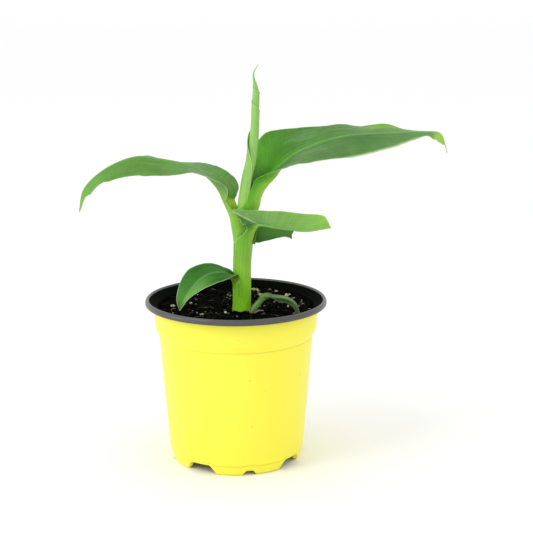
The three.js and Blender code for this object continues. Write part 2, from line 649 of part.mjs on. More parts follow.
plant.add(piece("pot", potBody(), "#fcf858", 0.4));
plant.add(piece("pot_lining", liningBody(), "#3a3a38", 0.45));
plant.add(piece("soil", soilBody(), "#0a0b06", 1));
plant.add(piece("trunk", solid(trunk(0)), "#82b846", 0.5));
plant.add(piece("rolled_leaf", leafBody(ROLLED_LEAF, 36, 0, [trunkRoom]), "#9ac86a", 0.5));
plant.add(piece("right_leaf", leafBody(RIGHT_LEAF, 28, 3, [trunkRoom, rolledRoom]), "#69935a", 0.45));
plant.add(piece("left_leaf", leafBody(LEFT_LEAF, 28, 3, [trunkRoom, rolledRoom]), "#6b9955", 0.45));
plant.add(piece("front_leaf", leafBody(FRONT_LEAF, 22, 3, behindFront), "#80ae5c", 0.5));
plant.add(piece("low_leaf", leafBody(LOW_LEAF, 18, 3, [trunkRoom]), "#497f38", 0.5));
plant.add(piece("withered_leaf", leafBody(WITHERED_LEAF, 16, 2, [trunkRoom]), "#8a7a4c", 0.9));

export default plant;
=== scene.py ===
import math
import random
import bpy
import numpy as np
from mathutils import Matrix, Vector, noise


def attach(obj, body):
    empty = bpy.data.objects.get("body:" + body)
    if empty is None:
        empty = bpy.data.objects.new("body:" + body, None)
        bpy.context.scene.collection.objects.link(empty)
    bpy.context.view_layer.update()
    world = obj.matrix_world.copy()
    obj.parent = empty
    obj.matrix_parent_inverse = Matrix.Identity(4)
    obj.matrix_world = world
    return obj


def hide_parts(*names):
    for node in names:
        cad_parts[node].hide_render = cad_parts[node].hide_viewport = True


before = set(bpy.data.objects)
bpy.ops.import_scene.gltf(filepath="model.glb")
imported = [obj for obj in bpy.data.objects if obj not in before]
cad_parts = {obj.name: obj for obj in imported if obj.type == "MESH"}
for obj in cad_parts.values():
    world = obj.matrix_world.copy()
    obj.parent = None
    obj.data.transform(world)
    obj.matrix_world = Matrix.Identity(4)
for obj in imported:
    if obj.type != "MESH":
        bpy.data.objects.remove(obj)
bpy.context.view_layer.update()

MM = 0.001
# Places in millimetres are measured from the pot's axis, which stands this far from the origin.
POT_AXIS_X = -19.5

# ---------------------------------------------------------------- small tools


def linear(red, green, blue):
    """Linear colour of a 0 to 255 screen colour."""
    screen = (red / 255, green / 255, blue / 255)
    return np.array([((c + 0.055) / 1.055) ** 2.4 if c > 10 / 255 else c / 12.92 for c in screen])


def bend(s, a, b, leaving, arriving, h=1):
    """Cubic from a to b over a length h, with given slopes at its ends, for s from 0 to 1."""
    return ((2 * s**3 - 3 * s**2 + 1) * a + (s**3 - 2 * s**2 + s) * h * leaving
            + (3 * s**2 - 2 * s**3) * b + (s**3 - s**2) * h * arriving)


def track(keys):
    """Smooth value of (position, value) pairs, without overshoot."""
    at = np.array([k[0] for k in keys], float)
    value = np.array([k[1] for k in keys], float)
    slope = np.diff(value) / np.diff(at)
    pull = np.zeros(len(at))
    pull[0], pull[-1] = slope[0], slope[-1]
    for i in range(1, len(at) - 1):
        if slope[i - 1] * slope[i] > 0:
            before, after = at[i] - at[i - 1], at[i + 1] - at[i]
            weight = (2 * after + before) / slope[i - 1] + (after + 2 * before) / slope[i]
            pull[i] = 3 * (before + after) / weight

    def smooth(x):
        x = np.clip(x, at[0], at[-1])
        i = np.clip(np.searchsorted(at, x, side="right") - 1, 0, len(at) - 2)
        h = at[i + 1] - at[i]
        return bend((x - at[i]) / h, value[i], value[i + 1], pull[i], pull[i + 1], h)

    return smooth


def route(points, steps=600):
    """Smooth path through points, measured evenly by its length from 0 to 1."""
    p = np.array(points, float)
    p = np.vstack([2 * p[0] - p[1], p, 2 * p[-1] - p[-2]])
    last = len(points) - 1
    along = np.linspace(0, last, steps + 1)
    i = np.minimum(along.astype(int), last - 1)
    s = (along - i)[:, None]
    a, b, c, d = p[i], p[i + 1], p[i + 2], p[i + 3]
    places = bend(s, b, c, (c - a) / 2, (d - b) / 2)
    length = np.concatenate([[0], np.cumsum(np.linalg.norm(np.diff(places, axis=0), axis=1))])

    def path(u):
        wanted = np.clip(u, 0, 1) * length[-1]
        return np.stack([np.interp(wanted, length, places[:, k]) for k in range(3)], -1)

    path.length = length[-1]
    return path


def unit(v):
    return v / np.maximum(np.linalg.norm(v, axis=-1, keepdims=True), 1e-9)


def stations(path, u, side):
    """Places, directions, level sides and upward directions along a path."""
    step = 0.002
    along = unit(path(np.minimum(u + step, 1)) - path(np.maximum(u - step, 0)))
    level = np.array([math.cos(math.radians(side)), math.sin(math.radians(side)), 0])
    reach = path(np.array(1.0)) - path(np.array(0.0))
    hand = np.sign(level[1] * reach[0] - level[0] * reach[1])
    across = unit(level - (along @ level)[:, None] * along)
    up = np.cross(along, across) * hand
    return path(u), along, across, up


def mesh_piece(name, points, faces, colours, coords, nodes, material):
    """One mesh in metres, from points in millimetres, with its colours and coordinates per point."""
    data = bpy.data.meshes.new(name)
    data.from_pydata(((points + [POT_AXIS_X, 0, 0]) * MM).tolist(), [], faces)
    data.update()
    tint = data.color_attributes.new("tint", "FLOAT_COLOR", "POINT")
    opaque = np.column_stack([colours, np.ones(len(colours))])
    tint.data.foreach_set("color", opaque.astype(np.float32).ravel())
    lay = data.uv_layers.new(name="lay")
    corner = np.zeros(len(data.loops), np.int32)
    data.loops.foreach_get("vertex_index", corner)
    lay.data.foreach_set("uv", coords[corner].astype(np.float32).ravel())
    data.polygons.foreach_set("use_smooth", [True] * len(data.polygons))
    data.materials.append(material)
    made = bpy.data.objects.new(name, data)
    bpy.context.scene.collection.objects.link(made)
    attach(made, "root")
    if nodes:
        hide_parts(*nodes)
    return made


def grid_faces(rows, columns, wrap=False, start=0, turned=False):
    """Faces between the points of a grid, joined round where it wraps, and turned over on request."""
    faces = []
    across = columns if wrap else columns - 1
    for i in range(rows - 1):
        for j in range(across):
            a = start + i * columns + j
            b = start + i * columns + (j + 1) % columns
            quad = (a, b, b + columns, a + columns)
            faces.append(quad[::-1] if turned else quad)
    return faces


def closed_sheet(surface, top, bottom):
    """Points and faces of a closed sheet: a grid of places thickened by top and bottom amounts."""
    rows, columns = surface.shape[:2]
    du = np.gradient(surface, axis=0)
    dv = np.gradient(surface, axis=1)
    normal = unit(np.cross(du, dv))
    upper = surface + normal * top[..., None]
    lower = surface - normal * bottom[..., None]
    points = np.concatenate([upper.reshape(-1, 3), lower.reshape(-1, 3)])
    layer = rows * columns
    faces = grid_faces(rows, columns, turned=True) + grid_faces(rows, columns, start=layer)
    edge = [i * columns for i in range(rows - 1)]
    edge += [(rows - 1) * columns + j for j in range(columns - 1)]
    edge += [i * columns + columns - 1 for i in range(rows - 1, 0, -1)]
    edge += list(range(columns - 1, 0, -1))
    for a, b in zip(edge, edge[1:] + edge[:1]):
        faces.append((a, b, b + layer, a + layer))
    return points, faces


def ripple(places, size, seed):
    """Soft noise from -1 to 1 at each place, for features of a size in millimetres."""
    shift = Vector((seed * 7.3, seed * 3.1, seed * 5.7))
    values = [noise.noise(Vector(p) / size + shift) for p in places.reshape(-1, 3)]
    return np.array(values).reshape(places.shape[:-1])


def mixed(a, b, share):
    """Blend of two colours, all of b where the share is 1."""
    share = np.asarray(share)[..., None]
    return a * (1 - share) + b * share


# ---------------------------------------------------------------- materials


class Shader:
    """A material built from nodes. An input takes a value, or an output that is linked to it."""

    def __init__(self, name, inputs):
        self.material = bpy.data.materials.new(name)
        self.material.use_nodes = True
        self.surface = self.material.node_tree.nodes["Principled BSDF"]
        self.fill(self.surface, inputs)

    def fill(self, node, inputs):
        for key, value in inputs.items():
            if isinstance(value, bpy.types.NodeSocket):
                self.material.node_tree.links.new(value, node.inputs[key])
            else:
                node.inputs[key].default_value = value

    def add(self, kind, output, inputs, **settings):
        """Adds a node and returns one of its outputs."""
        node = self.material.node_tree.nodes.new("ShaderNode" + kind)
        for key, value in settings.items():
            setattr(node, key, value)
        self.fill(node, inputs)
        return node.outputs[output]

    def tint(self):
        return self.add("VertexColor", "Color", {}, layer_name="tint")

    def place(self):
        return self.add("TexCoord", "Object", {})

    def cloud(self, place, scale, detail):
        return self.add("TexNoise", "Fac", {"Vector": place, "Scale": scale, "Detail": detail})

    def spread(self, value, low, high, first=0.3, last=0.7):
        """A noise value stretched so that first comes out as low and last as high."""
        return self.add("MapRange", "Result", {"Value": value, "From Min": first, "From Max": last,
                                               "To Min": low, "To Max": high})

    def blend(self, share, first, second):
        return self.add("Mix", 2, {0: share, 6: first, 7: second}, data_type="RGBA")

    def scaled(self, colour, share):
        return self.add("VectorMath", "Vector", {0: colour, "Scale": share}, operation="SCALE")

    def finish(self, colour, relief, strength, depth):
        """Gives the surface its colour and a relief with a depth in millimetres."""
        bump = self.add("Bump", "Normal", {"Height": relief, "Strength": strength, "Distance": depth * MM})
        self.fill(self.surface, {"Base Color": colour, "Normal": bump})
        return self.material


def tissue(name, vein_pitch, vein_depth, roughness, grain):
    """Leaf tissue: the mesh's own tint, fine parallel veins by the lay coordinates, and soft mottling."""
    made = Shader(name, {"Roughness": roughness, "Specular IOR Level": 0.2, "Subsurface Weight": 0.0})
    lay = made.add("UVMap", "UV", {}, uv_map="lay")
    stretched = made.add("Mapping", "Vector", {"Vector": lay, "Scale": (1 / vein_pitch, 0.02, 1)})
    veins = made.cloud(stretched, 1.0, 4)
    streak = made.spread(veins, 1 - grain, 1 + grain)
    mottle = made.spread(made.cloud(made.place(), 90, 6), 0.92, 1.08)
    both = made.add("Math", "Value", {0: streak, 1: mottle}, operation="MULTIPLY")
    return made.finish(made.scaled(made.tint(), both), veins, 0.35, vein_depth)


def plastic(name, colour, dark, roughness, grain_scale, speck=None, tinted=False, shine=0.5):
    """Moulded plastic: faint flow marks, fine grain and, where asked for, a few dark specks of dirt."""
    made = Shader(name, {"Roughness": roughness, "Specular IOR Level": shine})
    place = made.place()
    last = made.blend(made.cloud(place, 14, 5), (*colour, 1), (*dark, 1))
    if speck is not None:
        last = made.blend(made.spread(made.cloud(place, 420, 1), 0, 1, 0.8, 0.84), last, (*speck, 1))
    if tinted:
        last = made.add("VectorMath", "Vector", {0: last, 1: made.tint()}, operation="MULTIPLY")
    return made.finish(last, made.cloud(place, grain_scale, 3), 0.12, 0.1)


def earth(name):
    """Compost: the mesh's own tint broken up by fine crumbs."""
    made = Shader(name, {"Roughness": 0.95, "Specular IOR Level": 0.06})
    crumbs = made.cloud(made.place(), 900, 6)
    return made.finish(made.scaled(made.tint(), made.spread(crumbs, 0.4, 1.6)), crumbs, 0.7, 0.5)


LEAF = tissue("leaf_tissue", vein_pitch=1.0, vein_depth=0.4, roughness=0.46, grain=0.1)
STEM = tissue("stem_tissue", vein_pitch=0.9, vein_depth=0.4, roughness=0.42, grain=0.08)
DRY = tissue("dry_tissue", vein_pitch=0.8, vein_depth=0.8, roughness=0.8, grain=0.3)
POT = plastic("pot_plastic", linear(247, 240, 72), linear(244, 234, 56), 0.38, 1500,
              speck=linear(150, 130, 30), tinted=True)
RIM = plastic("rim_plastic", (0.052, 0.052, 0.05), (0.08, 0.08, 0.076), 0.32, 1200)
# Painted shade: the lining's inside is the rim's dark plastic made near black, to stand for the shade inside
# the pot.
LINING_IN_SHADE = plastic("inner_plastic_painted_shade", (0.0012, 0.0016, 0.001), (0.003, 0.004, 0.003), 0.8, 900, shine=0.02)
EARTH = earth("compost")

# ---------------------------------------------------------------- camera and light, in metres

# The camera is fitted to the ellipses of the rim, the step and the foot.
CAMERA_PLACE, CAMERA_LENS = (POT_AXIS_X * MM, -0.9107, 0.3348), 95
CAMERA_DOWN, CAMERA_TURN, SENSOR_WIDTH = 12.63, -1.278, 36
STUDIO_BRIGHTNESS, FLOOR_REACH = 1.06, 6

camera_data = bpy.data.cameras.new("camera")
camera_data.lens = CAMERA_LENS
camera_data.sensor_width = SENSOR_WIDTH
camera = bpy.data.objects.new("camera", camera_data)
camera.location = CAMERA_PLACE
camera.rotation_euler = (math.radians(90 - CAMERA_DOWN), 0, math.radians(CAMERA_TURN))
bpy.context.scene.collection.objects.link(camera)
bpy.context.scene.camera = camera
bpy.context.scene.view_settings.view_transform = "Standard"

world = bpy.data.worlds.new("studio")
bpy.context.scene.world = world
world.use_nodes = True
world.node_tree.nodes["Background"].inputs["Color"].default_value = (1, 1, 1, 1)
world.node_tree.nodes["Background"].inputs["Strength"].default_value = STUDIO_BRIGHTNESS


def softbox(name, place, target, size, power):
    data = bpy.data.lights.new(name, "AREA")
    data.shape = "DISK"
    data.size = size
    data.energy = power
    light = bpy.data.objects.new(name, data)
    light.location = place
    light.rotation_euler = (Vector(target) - Vector(place)).to_track_quat("-Z", "Y").to_euler()
    bpy.context.scene.collection.objects.link(light)


softbox("key", place=(-0.77, -0.55, 0.95), target=(-0.02, 0, 0.16), size=0.5, power=3.2)
softbox("side", place=(-1.12, -0.25, 0.3), target=(-0.02, 0, 0.12), size=0.35, power=1.5)

floor_paper = Shader("floor_paper", {"Base Color": (0.93, 0.93, 0.93, 1), "Roughness": 0.9}).material
floor_corners = [(x * FLOOR_REACH, y * FLOOR_REACH, 0) for x, y in ((-1, -1), (1, -1), (1, 1), (-1, 1))]
floor_data = bpy.data.meshes.new("floor")
floor_data.from_pydata(floor_corners, [], [(0, 1, 2, 3)])
floor_data.materials.append(floor_paper)
floor = bpy.data.objects.new("floor", floor_data)
bpy.context.scene.collection.objects.link(floor)

# ---------------------------------------------------------------- pot, in millimetres

FOOT_RADIUS, SEAM_RADIUS, SEAM_HEIGHT = 42.9, 45.0, 8.6
GROOVE_RADIUS, GROOVE_HEIGHT = 51.4, 85.5
COLLAR_RADIUS, COLLAR_HEIGHT, COLLAR_TOP_RADIUS, COLLAR_TOP_HEIGHT = 53.7, 90.0, 54.8, 105.4
WALL, FOOT_WALL, FLOOR_BOTTOM, FLOOR_TOP = 1.2, 3.2, 6.6, 8.0
PAIR_TURN, WIDE_GAP_TOP, WIDE_GAP_BOTTOM, WIDE_GAP_HEIGHT = 11.4, 17, 33, 6.2
NOTCH_TOP, NOTCH_BOTTOM, NOTCH_HEIGHT = 5, 14, 3.0
RIM_RADIUS, RIM_BOTTOM, RIM_TOP, RIM_INNER = 60.4, 105.7, 109.6, 57.7
CREASE_HEIGHT, DRAIN_RADIUS = 6.5, 1.5
TURNS = 288


def rounded(profile, radius=0.5, steps=4):
    """Profile with its corners rounded: each (r, z) corner becomes a short arc."""
    p = np.array(profile, float)
    out = []
    for i in range(len(p)):
        before, here, after = p[i - 1], p[i], p[(i + 1) % len(p)]
        a, b = before - here, after - here
        la, lb = np.linalg.norm(a), np.linalg.norm(b)
        cut = min(radius, la * 0.45, lb * 0.45)
        start, end = here + a / la * cut, here + b / lb * cut
        for s in np.linspace(0, 1, steps + 1):
            out.append((1 - s) ** 2 * start + 2 * s * (1 - s) * here + s**2 * end)
    return np.array(out)


def foot_lift(turn):
    """How far the foot ring's lower edge is lifted at each angle from the front, in degrees."""
    lift = np.zeros_like(turn)
    for middle, top, bottom, height in ((45, WIDE_GAP_TOP, WIDE_GAP_BOTTOM, WIDE_GAP_HEIGHT),
                                        (0, NOTCH_TOP, NOTCH_BOTTOM, NOTCH_HEIGHT)):
        off = np.abs((turn - PAIR_TURN - middle + 45) % 90 - 45)
        share = np.clip((bottom / 2 - off) / (bottom / 2 - top / 2), 0, 1)
        share = share * share * (3 - 2 * share)
        lift = np.maximum(lift, share * height)
    return lift


def lathe_points(profile, turns):
    angle = np.arange(turns) / turns * 2 * math.pi
    ring = np.stack([np.sin(angle), -np.cos(angle)], 1)
    r, z = profile[:, 0], profile[:, 1]
    points = np.zeros((len(profile), turns, 3))
    points[..., 0] = r[:, None] * ring[None, :, 0]
    points[..., 1] = r[:, None] * ring[None, :, 1]
    points[..., 2] = z[:, None]
    return points, angle


def lathe_faces(rows, turns):
    faces = []
    for i in range(rows):
        for j in range(turns):
            a, b = i * turns + j, i * turns + (j + 1) % turns
            c, d = ((i + 1) % rows) * turns + (j + 1) % turns, ((i + 1) % rows) * turns + j
            faces.append((a, b, c, d))
    return faces


def lathe_piece(name, points, tint, nodes, material):
    flat = points.reshape(-1, 3)
    faces = lathe_faces(*points.shape[:2])
    mesh_piece(name, flat, faces, np.broadcast_to(tint, flat.shape), flat[:, :2] / 10, nodes, material)


def wall_inside(z):
    """Radius of the inside of the tapered wall at a height."""
    return SEAM_RADIUS - WALL + (GROOVE_RADIUS - SEAM_RADIUS) * (z - FLOOR_TOP) / (GROOVE_HEIGHT - FLOOR_TOP)


def make_pot():
    """The yellow outer layer, its foot ring lifted at the wide gaps and the notches, with painted shade in
    the groove and the foot crease.
    """
    outside = [(FOOT_RADIUS - 1.0, 0), (FOOT_RADIUS, 1.0), (44.2, 6.0), (43.95, CREASE_HEIGHT), (44.7, 7.1),
               (SEAM_RADIUS + 0.05, SEAM_HEIGHT), (48.4, 48), (GROOVE_RADIUS - 0.2, GROOVE_HEIGHT - 1.2),
               (GROOVE_RADIUS - 0.45, GROOVE_HEIGHT - 0.4), (GROOVE_RADIUS + 0.3, GROOVE_HEIGHT + 0.4),
               (GROOVE_RADIUS + 0.5, GROOVE_HEIGHT + 1.4), (COLLAR_RADIUS, COLLAR_HEIGHT),
               (COLLAR_TOP_RADIUS, COLLAR_TOP_HEIGHT)]
    inside = [(COLLAR_TOP_RADIUS - WALL, COLLAR_TOP_HEIGHT), (COLLAR_RADIUS - WALL, COLLAR_HEIGHT + 0.4),
              (GROOVE_RADIUS - WALL, GROOVE_HEIGHT + 0.4), (wall_inside(40), 40),
              (wall_inside(FLOOR_TOP) - 0.2, FLOOR_TOP), (DRAIN_RADIUS, FLOOR_TOP),
              (DRAIN_RADIUS, FLOOR_BOTTOM),
              (FOOT_RADIUS - FOOT_WALL + 1, FLOOR_BOTTOM), (FOOT_RADIUS - FOOT_WALL, 0)]
    profile = rounded(outside + inside, 0.6, 3)
    points, angle = lathe_points(profile, TURNS)
    z = points[..., 2]
    radius = np.hypot(points[..., 0], points[..., 1])
    ringed = (radius > FOOT_RADIUS - FOOT_WALL - 0.5) & (z < SEAM_HEIGHT)
    share = np.clip(1 - z / SEAM_HEIGHT, 0, 1)
    raised = np.where(ringed, z + foot_lift(np.degrees(angle)) * share, z)
    widened = radius + (SEAM_RADIUS - FOOT_RADIUS) * (raised - z) / SEAM_HEIGHT
    moved = np.where(ringed & (radius > FOOT_RADIUS - 1.2), widened, radius)
    points[..., :2] *= (moved / radius)[..., None]
    points[..., 2] = raised
    height = np.repeat(profile[:, 1], TURNS)
    # Painted shade: the tint darkens the yellow in the groove under the collar and in the crease above the
    # foot, where shade falls.
    groove_shade = np.exp(-(((height - GROOVE_HEIGHT + 0.4) / 0.45) ** 2))
    crease_shade = np.exp(-(((height - CREASE_HEIGHT) / 0.4) ** 2))
    tint = 1 - (groove_shade * 0.5 + crease_shade * 0.45)[:, None] * np.array([0.25, 0.35, 0.5])
    lathe_piece("pot_shell", points, tint, ["pot"], POT)


def make_rim():
    """The dark inner layer: the rolled rim and the wall inside, the wall near black with painted shade."""
    collar = COLLAR_TOP_RADIUS - WALL - 0.3
    bead = [(collar + 1.6, RIM_BOTTOM + 0.3), (collar + 1.8, RIM_BOTTOM), (RIM_RADIUS - 0.5, RIM_BOTTOM),
            (RIM_RADIUS + 0.05, RIM_BOTTOM + 0.7), (RIM_RADIUS + 0.05, RIM_TOP - 1.6),
            (RIM_RADIUS - 0.6, RIM_TOP - 0.3), (RIM_RADIUS - 1.4, RIM_TOP + 0.1),
            (RIM_INNER + 0.5, RIM_TOP - 0.3), (RIM_INNER, RIM_TOP - 1.1), (RIM_INNER + 0.2, RIM_BOTTOM + 0.9)]
    wall = [(wall_inside(12) - 0.3, 12), (wall_inside(GROOVE_HEIGHT) - 0.4, GROOVE_HEIGHT), (51.8, 91.6),
            (collar - 0.3, COLLAR_TOP_HEIGHT), (RIM_INNER - 0.1, RIM_BOTTOM + 0.8),
            (RIM_INNER - 0.1, RIM_TOP - 0.8), (RIM_INNER - 0.8, RIM_TOP - 1.1),
            (collar - 1.2, COLLAR_TOP_HEIGHT - 0.6), (collar - 1.5, 102), (50.6, 91),
            (wall_inside(GROOVE_HEIGHT) - 1.4, GROOVE_HEIGHT - 1), (wall_inside(12) - 1.3, 12)]
    # The wall's near black tint is painted shade, far darker than the rim's.
    for name, profile, shade, material in (("pot_rim", rounded(bead, 0.8, 4), (0.07, 0.07, 0.068), RIM),
                                           ("pot_inner_wall", rounded(wall, 0.4, 3), (0.003,) * 3, LINING_IN_SHADE)):
        lathe_piece(name, lathe_points(profile, TURNS)[0], shade, ["pot_lining"], material)


make_pot()
make_rim()

# ---------------------------------------------------------------- soil

SOIL_LEVEL, SOIL_RADIUS, SOIL_BOTTOM = 101.7, 50.6, 7.3
STEM_FOOT, WITHERED_FOOT, BEAD_PLACE = (3.6, -4.0), (11, -11), (-7, -14.5)
CRUMBS, STEM_CRUMBS, CRUMBS_IN_GROUP, FIBRES = 950, 26, 5, 120
# Tones of the compost, from near black to beige.
SOIL_TONES = np.array([linear(1, 1, 0), linear(3, 3, 2), linear(9, 8, 5), linear(50, 47, 31),
                       linear(150, 145, 108), linear(190, 186, 150)])


def from_stem(x, y):
    return np.hypot(x - STEM_FOOT[0], y - STEM_FOOT[1])


def soil_height(x, y):
    fade = np.clip((from_stem(x, y) - 11) / 8, 0, 1)
    heap = 2.4 * np.clip((y + 5) / 45, 0, 1)
    lumps = 0.7 * (np.sin(0.31 * x + 1.7) * np.cos(0.27 * y) + 0.6 * np.sin(0.43 * y + 0.19 * x))
    return SOIL_LEVEL + fade * (heap + lumps)


def soil_tone(share):
    """The tone at a share from 0 to 1 of the way through the soil's tones."""
    at = np.clip(share, 0, 1) * (len(SOIL_TONES) - 1)
    i = np.minimum(at.astype(int), len(SOIL_TONES) - 2)
    return mixed(SOIL_TONES[i], SOIL_TONES[i + 1], at - i)


def make_soil():
    """The bed: a rough top of rings, closed by a skirt down the inside of the pot."""
    rings, turns = 90, 260
    radius = SOIL_RADIUS * (np.arange(rings) / (rings - 1)) ** 0.85
    angle = np.arange(turns) / turns * 2 * math.pi
    x = radius[:, None] * np.cos(angle)[None]
    y = radius[:, None] * np.sin(angle)[None]
    top = np.stack([x, y, soil_height(x, y)], -1)
    rough = 0.9 * ripple(top, 4.2, 1) + 0.8 * ripple(top, 1.7, 2) + 0.45 * ripple(top, 0.8, 3)
    top[..., 2] += rough * (0.4 + 0.6 * np.clip((from_stem(x, y) - 6.5) / 2, 0, 1))
    skirt = [np.stack([r * np.cos(angle), r * np.sin(angle), np.full(turns, z)], -1)
             for r, z in ((SOIL_RADIUS, 96), (wall_inside(60) - 2, 60), (wall_inside(9) - 2.6, SOIL_BOTTOM))]
    places = np.concatenate([top, skirt])
    flat = np.vstack([places.reshape(-1, 3), [0, 0, SOIL_BOTTOM]])
    hub = len(flat) - 1
    last = hub - turns
    faces = grid_faces(len(places), turns, wrap=True)
    faces += [(last + j, last + (j + 1) % turns, hub) for j in range(turns)]
    share = 0.05 + 0.3 * np.maximum(ripple(flat[:-1], 1.6, 4), 0) ** 2 + 0.06 * ripple(flat[:-1], 0.6, 5)
    tint = np.vstack([soil_tone(share), soil_tone(0.1)])
    return mesh_piece("soil_bed", flat, faces, tint, flat[:, :2] / 10, ["soil"], EARTH)


class Scatter:
    """Many small loose shapes gathered into one mesh."""

    def __init__(self):
        self.points, self.faces, self.tints, self.count = [], [], [], 0

    def add(self, shape, tone):
        points, faces = shape
        self.points.append(points)
        self.faces += [tuple(i + self.count for i in face) for face in faces]
        self.tints.append(np.tile(tone, (len(points), 1)))
        self.count += len(points)

    def finish(self, name):
        flat = np.vstack(self.points)
        return mesh_piece(name, flat, self.faces, np.vstack(self.tints), flat[:, :2] / 10, [], EARTH)


def lump(rng, centre, size):
    """A small angular crumb: four uneven rings of seven points, closed by a point above and below."""
    points = []
    rings, turns = 4, 7
    stretch = np.array([rng.uniform(0.7, 1.4), rng.uniform(0.7, 1.4), rng.uniform(0.5, 0.9)])
    spin = rng.uniform(0, 6.28)
    for i in range(rings):
        polar = (i + 0.5) / rings * math.pi
        for j in range(turns):
            a = j / turns * 2 * math.pi + spin
            out = size * rng.uniform(0.75, 1.15)
            ray = np.array([math.sin(polar) * math.cos(a), math.sin(polar) * math.sin(a), math.cos(polar)])
            points.append(ray * stretch * out)
    faces = grid_faces(rings, turns, wrap=True, turned=True)
    points.append(np.array([0, 0, size * 0.6 * stretch[2]]))
    points.append(np.array([0, 0, -size * 0.6 * stretch[2]]))
    for j in range(turns):
        faces.append((len(points) - 2, j, (j + 1) % turns))
        faces.append((len(points) - 1, (rings - 1) * turns + (j + 1) % turns, (rings - 1) * turns + j))
    return np.array(points) + centre, faces


# Groups of beige crumbs: place, size and paleness.
PALE_CRUMBS = [
    (11, 46, 1.2, 0.9), (17, 34, 1.2, 0.95), (34, 20, 1.2, 0.95), (26, 14, 1.0, 0.85), (13, 40, 1.5, 0.95),
    (18, 28, 1.5, 1.0), (22, 25, 1.2, 0.95), (8, 36, 1.0, 0.9), (36, 27, 1.6, 1.0), (39, 21, 1.1, 0.9),
    (30, 10, 1.1, 0.85), (28, 36, 1.0, 0.85), (44, 10, 1.0, 0.8), (24, 42, 1.0, 0.8), (-22, -17, 1.1, 1.0),
    (-34, 8, 0.9, 0.8), (-44, -14, 0.9, 0.75), (33, -8, 0.8, 0.75), (-7, -15, 0.42, 1.0)]


def make_crumbs():
    """Loose crumbs everywhere, a ring of them at the stem's foot, the beige groups and one white bead."""
    rng = random.Random(11)
    loose = Scatter()
    stem_clearance, withered_clearance, ring_radius = 6.4, 3, 7.1
    for _ in range(CRUMBS):
        angle = rng.uniform(0, 2 * math.pi)
        out = (SOIL_RADIUS - 1.6) * math.sqrt(rng.random())
        x, y = out * math.cos(angle), out * math.sin(angle)
        from_withered = math.hypot(x - WITHERED_FOOT[0], y - WITHERED_FOOT[1])
        if from_stem(x, y) < stem_clearance or from_withered < withered_clearance:
            continue
        size = rng.uniform(0.35, 1.0) * (1.6 if rng.random() < 0.08 else 1)
        paleness = rng.random() ** (4 if x > 5 and y > 0 else 7)
        place = np.array([x, y, float(soil_height(x, y)) + size * 0.25])
        loose.add(lump(rng, place, size), soil_tone(0.08 + 0.9 * paleness))
    for k in range(STEM_CRUMBS):
        angle = k / STEM_CRUMBS * 2 * math.pi
        out = ring_radius + rng.uniform(-0.5, 0.9)
        x, y = STEM_FOOT[0] + out * math.cos(angle), STEM_FOOT[1] + out * math.sin(angle)
        size = rng.uniform(0.6, 1.3)
        loose.add(lump(rng, np.array([x, y, SOIL_LEVEL + 0.6]), size), soil_tone(rng.uniform(0.02, 0.2)))
    for x, y, size, share in PALE_CRUMBS:
        for _ in range(CRUMBS_IN_GROUP):
            at = np.array([x + rng.uniform(-1.3, 1.3) * size, y + rng.uniform(-2, 2) * size, 0])
            at[2] = float(soil_height(at[0], at[1])) + 0.5 * size
            loose.add(lump(rng, at, size * rng.uniform(0.45, 0.95)), soil_tone(share - rng.uniform(0, 0.25)))
    loose.add(lump(random.Random(5), np.array([*BEAD_PLACE, SOIL_LEVEL + 1.5]), 0.85), linear(240, 240, 232))
    return loose.finish("soil_crumbs")


def make_fibres():
    """Thin bent root and bark fibres lying on the soil."""
    rng = random.Random(23)
    loose = Scatter()
    steps, around, stem_clearance = 8, 5, 9
    for _ in range(FIBRES):
        angle = rng.uniform(0, 2 * math.pi)
        out = (SOIL_RADIUS - 6) * math.sqrt(rng.random())
        x, y = out * math.cos(angle), out * math.sin(angle)
        if from_stem(x, y) < stem_clearance:
            continue
        heading = rng.uniform(0, 2 * math.pi)
        thick = rng.uniform(0.1, 0.24)
        step = rng.uniform(0.5, 1.2)
        points = []
        for i in range(steps):
            z = float(soil_height(x, y)) + 0.5 + 0.5 * math.sin(i / (steps - 1) * math.pi)
            for j in range(around):
                a = j / around * 2 * math.pi
                side = np.array([-math.sin(heading), math.cos(heading), 0]) * math.cos(a)
                ray = side + np.array([0, 0, math.sin(a)])
                points.append(np.array([x, y, z]) + thick * (1 - 0.6 * i / steps) * ray)
            heading += rng.uniform(-0.5, 0.5)
            x += step * math.cos(heading)
            y += step * math.sin(heading)
            if math.hypot(x, y) > SOIL_RADIUS - 1.5:
                heading += math.pi
                x += 2 * step * math.cos(heading)
                y += 2 * step * math.sin(heading)
        faces = grid_faces(steps, around, wrap=True)
        faces.append(tuple(reversed(range(around))))
        faces.append(tuple((steps - 1) * around + j for j in range(around)))
        loose.add((np.array(points), faces), soil_tone(rng.uniform(0.2, 0.85)))
    return loose.finish("soil_fibres")


make_soil()
make_crumbs()
make_fibres()

# ---------------------------------------------------------------- plant

# The side veins leave the rib at a slant and bend. The pale hem at a leaf's edge is in millimetres.
VEIN_SLANT, VEIN_BEND, PLAIN_HEM = 0.9, 0.014, 0.4
# The grey mixed into the leaf tops is partly the waxy bloom and partly painted sheen.
BLOOM_AND_SHEEN, CRACK, UNDER, BROWN = linear(120, 150, 108), linear(46, 66, 12), (132, 178, 96), (104, 92, 70)


